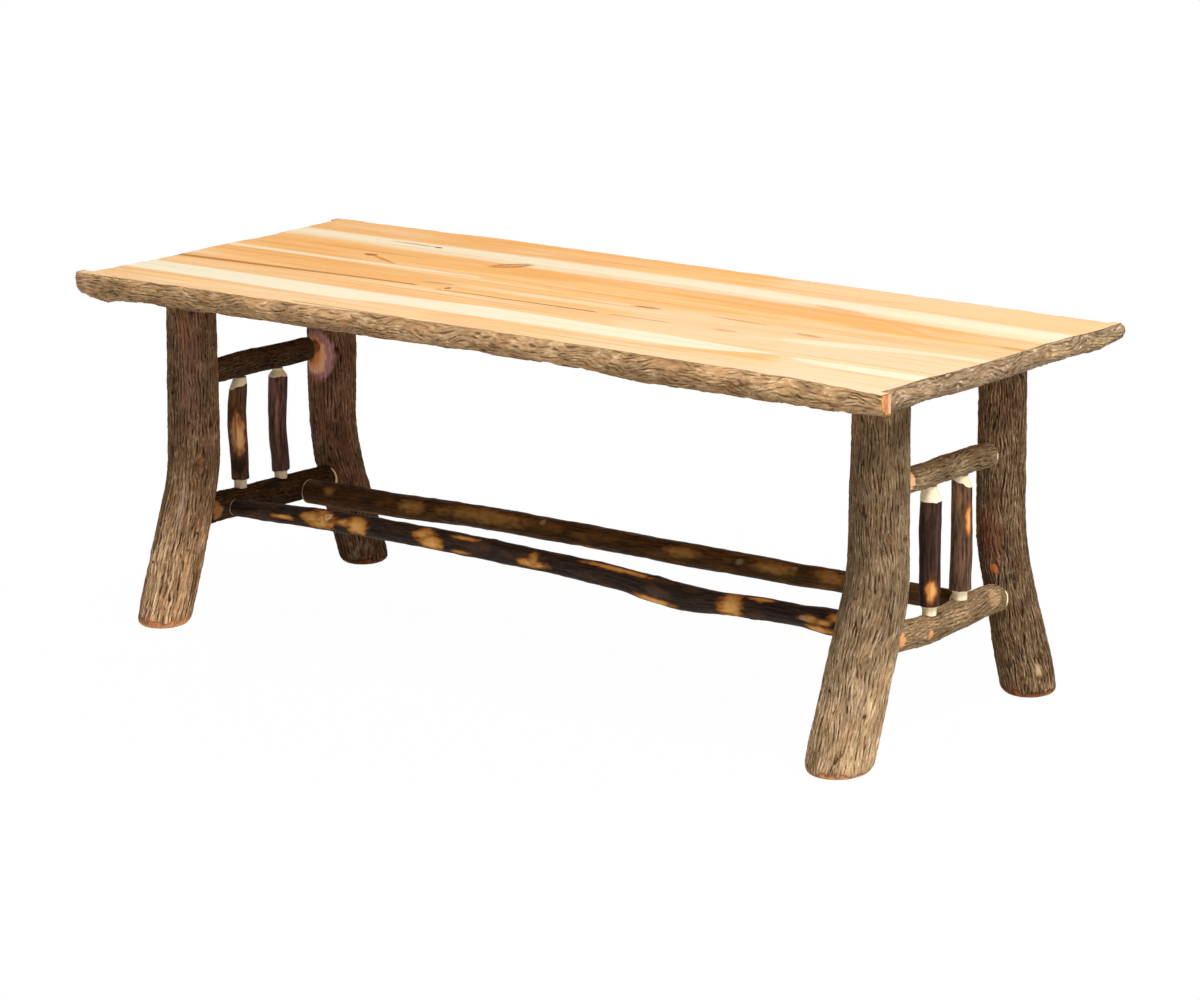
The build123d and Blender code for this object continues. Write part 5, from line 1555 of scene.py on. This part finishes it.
class LOGTABLE_OT_stage(Operator):
    """Make the floor, the lamps and the camera"""

    bl_idname = "logtable.stage"
    bl_label = "Stage"

    def execute(self, context):
        studio = settings().studio
        self.add_floor()
        self.add_world(studio)
        self.add_lamp("key_lamp", KEY_PLACE, KEY_TARGET, KEY_SIZE, studio.key_power)
        self.add_lamp("fill_lamp", FILL_PLACE, FILL_TARGET, FILL_SIZE, studio.fill_power)
        self.add_camera(context.scene, studio)
        context.scene.view_settings.view_transform = "Standard"
        return {"FINISHED"}

    def add_floor(self):
        bpy.ops.object.select_all(action="DESELECT")
        bpy.ops.mesh.primitive_plane_add(size=FLOOR_SIZE)
        floor = bpy.context.object
        floor.name = "studio_floor"
        finish = Finish("studio_floor_white")
        finish.shader.inputs["Base Color"].default_value = FLOOR_GREY
        finish.shader.inputs["Roughness"].default_value = 0.9
        finish.shader.inputs["Specular IOR Level"].default_value = 0.1
        away = finish.vector("LENGTH", finish.object_place())["Value"]
        share = finish.rise(away, SHADE_NEAR, SHADE_FAR, SHADE_SHARE, 1.0)
        surface = finish.tree.nodes["Material Output"].inputs["Surface"]
        finish.give(surface, finish.seen_white(finish.shader.outputs[0], share))
        floor.data.materials.append(finish.material)

    def add_world(self, studio):
        world = bpy.data.worlds.new("studio_world")
        world.use_nodes = True
        wire = Wiring(world.node_tree)
        background = wire.tree.nodes["Background"]
        background.inputs["Color"].default_value = SKY
        background.inputs["Strength"].default_value = studio.ambient
        surface = wire.tree.nodes["World Output"].inputs["Surface"]
        wire.give(surface, wire.seen_white(background.outputs[0], 1.0))
        bpy.context.scene.world = world

    def add_lamp(self, name, place, target, size, power):
        bpy.ops.object.light_add(type="AREA", location=place)
        lamp = bpy.context.object
        lamp.name = lamp.data.name = name
        lamp.data.shape = "DISK"
        lamp.data.size = size
        lamp.data.energy = power
        lamp.rotation_euler = (Vector(target) - Vector(place)).to_track_quat("-Z", "Y").to_euler()

    def add_camera(self, scene, studio):
        bpy.ops.object.camera_add(location=studio.camera_place)
        camera = bpy.context.object
        camera.name = camera.data.name = "front_right_camera"
        camera.rotation_euler = Vector(studio.camera_direction).to_track_quat("-Z", "Y").to_euler()
        camera.data.lens = studio.lens
        camera.data.sensor_width = SENSOR
        camera.data.clip_end = FAR_CLIP
        scene.camera = camera


# ------------------------------------------------------------------ add-on parts
STEPS = [LOGTABLE_OT_legs, LOGTABLE_OT_rails, LOGTABLE_OT_stretchers, LOGTABLE_OT_spindles,
         LOGTABLE_OT_edge_logs, LOGTABLE_OT_planks, LOGTABLE_OT_cleats, LOGTABLE_OT_hardware,
         LOGTABLE_OT_stage]


class LOGTABLE_PT_sidebar(Panel):
    """Lists the table's steps and settings"""

    bl_idname = "LOGTABLE_PT_sidebar"
    bl_label = "Log Table"
    bl_space_type = "VIEW_3D"
    bl_region_type = "UI"
    bl_category = "Log Table"

    def draw(self, context):
        table = context.scene.log_table
        for group in (table.bark, table.wood, table.studio):
            box = self.layout.box()
            for name in group.__annotations__:
                box.prop(group, name)
        for step in STEPS:
            self.layout.operator(step.bl_idname)


CLASSES = [BarkSettings, WoodSettings, StudioSettings, TableSettings, *STEPS, LOGTABLE_PT_sidebar]


def register():
    for each in CLASSES:
        bpy.utils.register_class(each)
    bpy.types.Scene.log_table = PointerProperty(type=TableSettings)


def unregister():
    del bpy.types.Scene.log_table
    for each in reversed(CLASSES):
        bpy.utils.unregister_class(each)


def main():
    register()
    for step in STEPS:
        group, name = step.bl_idname.split(".")
        getattr(getattr(bpy.ops, group), name)()


if __name__ == "__main__":
    main()
